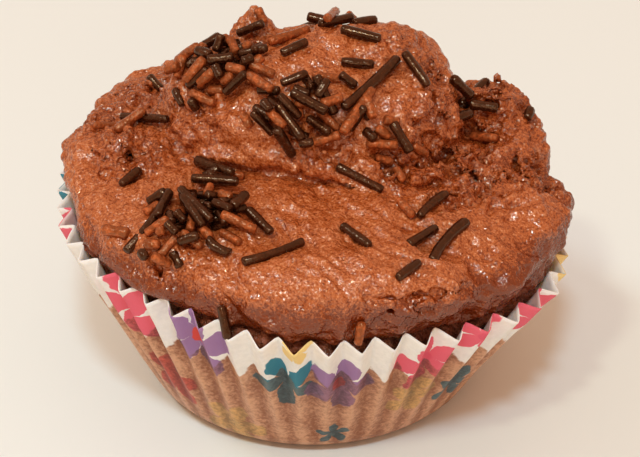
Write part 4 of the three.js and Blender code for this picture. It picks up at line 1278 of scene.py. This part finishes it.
class StrandPile:
    """Strands as they come to rest on the frosting and on each other."""

    def __init__(self, surface, radius, view):
        self.surface = surface
        self.radius = radius
        self.view = view
        self.dice = np.random.default_rng(STRAND_SEED)
        self.strands = []
        self.seen = []

    def lying_on_frosting(self, x, y, radius):
        """Where the middle of a strand that touches the frosting over x, y is."""
        spot, normal, *_ = self.surface.ray_cast(Vector((x * MM, y * MM, 0.1)), Vector((0, 0, -1)))
        if spot is None:
            return None
        return np.array(spot) / MM + np.array(normal) * radius * (1 - STRAND_SINK)

    def next_radius(self):
        """The next strand's radius, drawn about the usual one."""
        return self.radius + STRAND_SPREAD * self.dice.uniform(-1, 1)

    def frosting_depths(self, spots):
        """How deep in the view a strand on the frosting lies behind spots; endless beside it."""
        view = self.view
        depths = np.full(len(spots), np.inf)
        for k, way in enumerate(view.ways(spots)):
            spot, normal, *_ = self.surface.ray_cast(Vector(view.eye * MM), Vector(way))
            if spot is not None:
                facing = max(-np.dot(normal, way) / np.linalg.norm(way), LEAST_FACING)
                depth = (np.array(spot) / MM - view.eye) @ view.forward
                depths[k] = depth - self.radius * (1 - STRAND_SINK) / facing
        return depths

    def bed_depths(self, spots):
        """The same for a strand that lies on the frosting and on the strands there."""
        depths = self.frosting_depths(spots)
        for start, end, bed in self.seen:
            way = end - start
            along = np.clip((spots - start) @ way / (way @ way), 0, 1)
            aside = np.linalg.norm(spots - start - along[:, None] * way, axis=1) * self.view.pixel
            rise = np.sqrt(np.maximum(SIGHT_CONTACT**2 - aside**2, 0))
            above = bed[0] + (bed[1] - bed[0]) * along - rise
            depths = np.where(aside < SIGHT_CONTACT, np.minimum(depths, above), depths)
        return depths

    def lay_seen(self, kind, row):
        """Lays a strand so that its ends show at two spots of the front view."""
        start, end, bow = np.array(row[:2]), np.array(row[2:4]), row[4]
        shares = np.linspace(0, 1, SIGHTS)
        depths = self.bed_depths(start + shares[:, None] * (end - start))
        hit = np.isfinite(depths)
        most = STEEPEST * np.linalg.norm(end - start) * self.view.pixel / 2
        if hit.mean() > 0.7:
            bed = resting_line(shares[hit], depths[hit])
            bed = bed.mean() + np.clip((bed[1] - bed[0]) / 2, -most, most) * np.array((-1, 1))
        elif hit.any():
            bed = np.full(2, depths[hit][0 if hit[0] else -1])
        else:
            across, lowest = (start[0] + end[0]) / 2, max(start[1], end[1])
            below = np.array([(across, lowest + drop) for drop in DROPS])
            depths = self.bed_depths(below)
            bed = np.full(2, depths[np.isfinite(depths)][0])
        bed = self.lowered(np.stack((start, end)), bed)
        bed = np.minimum(bed, bed.min() + 2 * most)
        self.seen.append((start, end, bed))
        ends = self.view.points(np.stack((start, end)), bed)
        self.strands.append((kind, *ends, self.next_radius(), bow))

    def lowered(self, spots, bed):
        """Moves a strand's ends back where they would be too far in front of the frosting."""
        frosting = self.frosting_depths(spots)
        stacked = self.bed_depths(spots) < frosting - SINK_ALLOWED
        most = np.where(stacked, STACKED_LIFT, LOOSE_LIFT)
        return np.where(np.isfinite(frosting), np.maximum(bed, frosting - most), bed)

    def hang(self, kind, row):
        """Hangs a strand over the edge, touching the frosting at its upper end."""
        spots = np.array(row).reshape(2, 2)
        bed = self.bed_depths(spots[:1])[0] + np.array(HANGING_DEPTHS)
        self.strands.append((kind, *self.view.points(spots, bed), self.next_radius(), 0))

    def lay(self, kind, x, y, heading, length):
        """Lays one strand over x, y, unless it would hang over the edge or has no room."""
        radius = self.next_radius()
        turn = math.radians(heading)
        half = (length / 2) * np.array((math.cos(turn), math.sin(turn)))
        ends = [self.lying_on_frosting(*(np.array((x, y)) + side * half), radius) for side in (-1, 1)]
        middle = self.lying_on_frosting(x, y, radius)
        if ends[0] is None or ends[1] is None or middle is None:
            return
        if abs(ends[1][2] - ends[0][2]) > length:
            return
        rise = max(0, middle[2] - (ends[0][2] + ends[1][2]) / 2)
        for end in ends:
            end[2] += 0.5 * rise
        if self.rest(ends, radius):
            self.strands.append((kind, *ends, radius, 0))
            spots, depths = self.view.spots(ends)
            self.seen.append((*spots, depths))

    def rest(self, ends, radius):
        """Tilts a strand up, end by end, until it lies on the ones there. Tells if it can."""
        if not self.strands:
            return True
        starts, stops, radii = (np.array([strand[k] for strand in self.strands]) for k in (1, 2, 3))
        ways = stops - starts
        squares = np.einsum("ij,ij->i", ways, ways)
        shares = np.linspace(0, 1, 13)
        for _ in range(STACK_STEPS):
            line = ends[0] + shares[:, None] * (ends[1] - ends[0])
            from_start = line[:, None] - starts
            along = np.clip(np.einsum("ijk,jk->ij", from_start, ways) / squares, 0, 1)
            gaps = np.linalg.norm(from_start - along[..., None] * ways, axis=2)
            gaps -= STACK_CONTACT * (radii + radius)
            worst = np.unravel_index(gaps.argmin(), gaps.shape)
            if gaps[worst] >= 0:
                return True
            ends[0][2] += STACK_STEP * (shares[worst[0]] < 1 - NEAR_END)
            ends[1][2] += STACK_STEP * (shares[worst[0]] > NEAR_END)
        return False

    def heap(self, middle, spread, heading, count, lengths, cocoa):
        """Strands lying every way about a place, more of them near its middle."""
        dice = self.dice
        for _ in range(count):
            x, y = (m + s * (dice.random() + dice.random() - 1) for m, s in zip(middle, spread))
            turn = heading + HEAP_SCATTER * (dice.random() - 0.5)
            self.lay("cocoa" if dice.random() < cocoa else "dark", x, y, turn, dice.uniform(*lengths))

    def hidden(self, point):
        """Whether the frosting hides a point from the front view."""
        way = point - self.view.eye
        spot, *_ = self.surface.ray_cast(Vector(self.view.eye * MM), Vector(way))
        return spot is not None and np.linalg.norm(np.array(spot) / MM - point) > 2 * self.radius

    def scatter_behind(self, count, reach, width, length, cocoa):
        """Loose strands on the far side, out of the front view."""
        dice = self.dice
        for _ in range(count):
            angle = math.radians(180 + width * dice.uniform(-1, 1))
            radius = dice.uniform(*reach)
            kind = "cocoa" if dice.random() < cocoa else "dark"
            place = (radius * math.sin(angle), -radius * math.cos(angle))
            turn, size = dice.uniform(0, 180), dice.uniform(*length)
            bed = self.lying_on_frosting(*place, self.radius)
            if bed is not None and self.hidden(bed):
                self.lay(kind, *place, turn, size)


def lay_all_strands(surface, radius, view):
    """The heaps' lowest strands, those that show singly, the hanging ones, and the far side's."""
    pile = StrandPile(surface, radius, view)
    for heap in STRAND_HEAPS:
        pile.heap(*heap)
    for kind, rows in SEEN_STRANDS:
        for row in rows:
            pile.lay_seen(kind, row)
    for kind, row in HANGING_STRANDS:
        pile.hang(kind, row)
    pile.scatter_behind(**BACK_STRANDS)
    return pile.strands


def strand_points(start, end, radius, bow, seed):
    """One strand: rings round a line that bows sideways by 4 s (1 - s) times bow.

    s goes from 0 at its start to 1 at its end.

    TIP_STEPS rounds the ends off, and the thickness wanders a little along it.
    """
    start, end = np.array(start), np.array(end)
    length = np.linalg.norm(end - start)
    axis = (end - start) / length
    side = np.cross((0, 0, 1), axis)
    side /= np.linalg.norm(side)
    up = np.cross(axis, side)
    near = [at / length for at, _ in TIP_STEPS]
    body = list(np.linspace(near[-1], 1 - near[-1], BODY_RINGS)[1:-1])
    stops = np.array(near[1:] + body + [1 - at for at in near[:0:-1]])
    shares = np.array([s for _, s in TIP_STEPS[1:]] + [1] * len(body) + [s for _, s in TIP_STEPS[:0:-1]])
    dice = np.random.default_rng(seed)
    shares = shares * (1 + THICKNESS_WANDER * np.sin(stops * dice.uniform(4, 9) + dice.uniform(0, TAU)))
    line = start + stops[:, None] * (end - start) + (4 * bow * stops * (1 - stops))[:, None] * side
    turn = np.arange(STRAND_SIDES) * TAU / STRAND_SIDES
    circle = np.cos(turn)[:, None] * side + np.sin(turn)[:, None] * up
    circle *= (1 + STRAND_RIDGES * np.cos(STRAND_SIDES / 2 * turn))[:, None]
    points = line[:, None] + (radius * shares)[:, None, None] * circle[None]
    return np.vstack((points.reshape(-1, 3), start, end)), len(stops)


def strand_faces(rings):
    """Faces of one strand: its rings, and a fan at each end."""
    last = rings * STRAND_SIDES
    first_ring = np.arange(STRAND_SIDES)
    return [
        ring_faces(rings, STRAND_SIDES),
        fan_faces(last, first_ring, True),
        fan_faces(last + 1, first_ring + last - STRAND_SIDES, False),
    ]


BLOOM_SIZE = 0.0011  # metres, as are the next two
STRAND_GRAIN = 0.0005
STRAND_BUMP = 0.00009


def strand_material(name, colour, coat, gloss):
    """A chocolate strand: a soft sheen on a ribbed, slightly dusty surface.

    The coat is how thickly frosting clings to it, which shows as coarser bumps.
    """
    material, tree, shader = new_material(name)
    place = tree.add("ShaderNodeTexCoord").outputs["Object"]
    bloom = tree.noise(place, BLOOM_SIZE, 3.0, 0.7)
    grain = tree.noise(place, STRAND_GRAIN, 2.0, 0.5)
    pale = tuple(min(2.2 * value, 1) for value in colour)
    shade = tree.sum("ADD", tree.sum("MULTIPLY", bloom, 0.6), tree.sum("MULTIPLY", grain, 0.4))
    shaded = tree.mix(tree.step(shade, 0.42, 0.68), (*colour, 1), (*pale, 1))
    tree.tree.links.new(shaded, shader.inputs["Base Color"])
    tree.tree.links.new(tree.step(bloom, 0.35, 0.7, 0.14, 0.28), shader.inputs["Roughness"])
    shader.inputs["Specular IOR Level"].default_value = 0.9
    shader.inputs["Specular Tint"].default_value = (*gloss, 1)
    bumped(tree, shader, grain, STRAND_BUMP * coat, 0.9)
    return material


class CUPCAKE_OT_strands(bpy.types.Operator):
    """Lays the chocolate strands on the frosting"""

    bl_idname = "cupcake.strands"
    bl_label = "Chocolate Strands"

    def execute(self, context):
        settings = context.scene.cupcake_strands
        frosting = bpy.data.objects.get("heaped_frosting")
        if frosting is None:
            raise RuntimeError("build the frosting before its strands")
        surface = BVHTree.FromObject(frosting, context.evaluated_depsgraph_get())
        strands = lay_all_strands(surface, settings.radius / MM, FrontView(context.scene.cupcake_stage))
        for kind, colour, coat in (("dark", settings.dark, 1.0), ("cocoa", settings.cocoa, 3.0)):
            points, faces, total = [], [], 0
            for seed, (its_kind, start, end, radius, bow) in enumerate(strands):
                if its_kind != kind:
                    continue
                strand, rings = strand_points(start, end, radius, bow, seed)
                points.append(strand)
                faces += [block + total for block in strand_faces(rings)]
                total += len(strand)
            name = f"{kind}_strands"
            material = strand_material(name, tuple(colour), coat, settings.gloss)
            make_piece(name, np.vstack(points), faces, material, "frosting")
        return {"FINISHED"}


# ---- Stage ----------------------------------------------------------------------------------------

ROOM = (1.0, 0.66, 0.49)
LIGHT_REACH = 1.1  # metres
FLOOR_HALF = 3.0  # metres
# Lights: direction from the front, height (both degrees), size, share of the key, colour.
LIGHTS = (
    ("key", -3, 58, 0.14, 1.0, (0.6, 0.82, 0.98)),
    ("second", -28, 56, 0.1, 0.4, (0.95, 1.0, 0.82)),
    ("side", -90, 55, 0.2, 0.53, (0.6, 0.8, 0.92)),
    ("front", 6, 20, 0.35, 0.2, (1.0, 0.9, 0.78)),
)


class CUPCAKE_OT_stage(bpy.types.Operator):
    """Sets up the floor, the lights and the camera"""

    bl_idname = "cupcake.stage"
    bl_label = "Stage"

    def execute(self, context):
        settings = context.scene.cupcake_stage
        scene = context.scene
        material, _, shader = new_material("pale_floor")
        shader.inputs["Base Color"].default_value = (*settings.floor, 1)
        shader.inputs["Roughness"].default_value = 0.9
        mesh = bpy.data.meshes.new("floor")
        corners = [(x * FLOOR_HALF, y * FLOOR_HALF, 0) for x, y in ((-1, -1), (1, -1), (1, 1), (-1, 1))]
        mesh.from_pydata(corners, [], [(0, 1, 2, 3)])
        mesh.materials.append(material)
        floor = bpy.data.objects.new("floor", mesh)
        scene.collection.objects.link(floor)

        world = bpy.data.worlds.new("room")
        world.use_nodes = True
        world.node_tree.nodes["Background"].inputs["Color"].default_value = (*ROOM, 1)
        world.node_tree.nodes["Background"].inputs["Strength"].default_value = settings.fill
        scene.world = world

        for name, turn, height, size, share, colour in LIGHTS:
            turn, height = math.radians(turn), math.radians(height)
            flat = LIGHT_REACH * math.cos(height)
            place = Vector((flat * math.sin(turn), -flat * math.cos(turn), LIGHT_REACH * math.sin(height)))
            data = bpy.data.lights.new(name, "AREA")
            data.shape = "DISK"
            data.size = size
            data.energy = settings.key * share
            data.color = colour
            light = bpy.data.objects.new(name, data)
            light.location = place
            light.rotation_euler = (-place).to_track_quat("-Z", "Y").to_euler()
            scene.collection.objects.link(light)

        data = bpy.data.cameras.new("camera")
        data.lens = settings.lens
        data.sensor_width = SENSOR
        data.clip_start = 0.01
        camera = bpy.data.objects.new("camera", data)
        camera.location = FrontView(settings).eye * MM
        camera.rotation_euler = (math.pi / 2 - settings.elevation, 0, 0)
        scene.collection.objects.link(camera)
        scene.camera = camera
        scene.view_settings.view_transform = "Standard"
        scene.view_settings.look = "Medium High Contrast"
        return {"FINISHED"}


# ---- Panel and start ----------------------------------------------------------------------------


class CUPCAKE_PT_panel(bpy.types.Panel):
    """Lists the cake's sizes and colours and the steps that build it"""

    bl_idname = "CUPCAKE_PT_panel"
    bl_label = "Chocolate Cupcake"
    bl_space_type = "VIEW_3D"
    bl_region_type = "UI"
    bl_category = "Cupcake"

    def draw(self, context):
        for name, operators in PANEL_ROWS:
            box = self.layout.box()
            settings = getattr(context.scene, name)
            for key in type(settings).__annotations__:
                box.prop(settings, key)
            for operator in operators:
                box.operator(operator.bl_idname)


PANEL_ROWS = (
    ("cupcake_wrapper", (CUPCAKE_OT_wrapper,)),
    ("cupcake_cake", (CUPCAKE_OT_sponge, CUPCAKE_OT_frosting)),
    ("cupcake_strands", (CUPCAKE_OT_strands,)),
    ("cupcake_stage", (CUPCAKE_OT_stage,)),
)
SETTINGS = {
    "cupcake_wrapper": CupcakeWrapperSettings,
    "cupcake_cake": CupcakeCakeSettings,
    "cupcake_strands": CupcakeStrandSettings,
    "cupcake_stage": CupcakeStageSettings,
}
OPERATORS = (
    CUPCAKE_OT_stage,
    CUPCAKE_OT_wrapper,
    CUPCAKE_OT_sponge,
    CUPCAKE_OT_frosting,
    CUPCAKE_OT_strands,
)


def register():
    for cls in (*SETTINGS.values(), *OPERATORS, CUPCAKE_PT_panel):
        bpy.utils.register_class(cls)
    for name, cls in SETTINGS.items():
        setattr(bpy.types.Scene, name, PointerProperty(type=cls))


def unregister():
    for name in SETTINGS:
        delattr(bpy.types.Scene, name)
    for cls in reversed((*SETTINGS.values(), *OPERATORS, CUPCAKE_PT_panel)):
        bpy.utils.unregister_class(cls)


def main():
    register()
    bpy.ops.cupcake.stage()
    bpy.ops.cupcake.wrapper()
    bpy.ops.cupcake.sponge()
    bpy.ops.cupcake.frosting()
    bpy.ops.cupcake.strands()


if __name__ == "__main__":
    main()
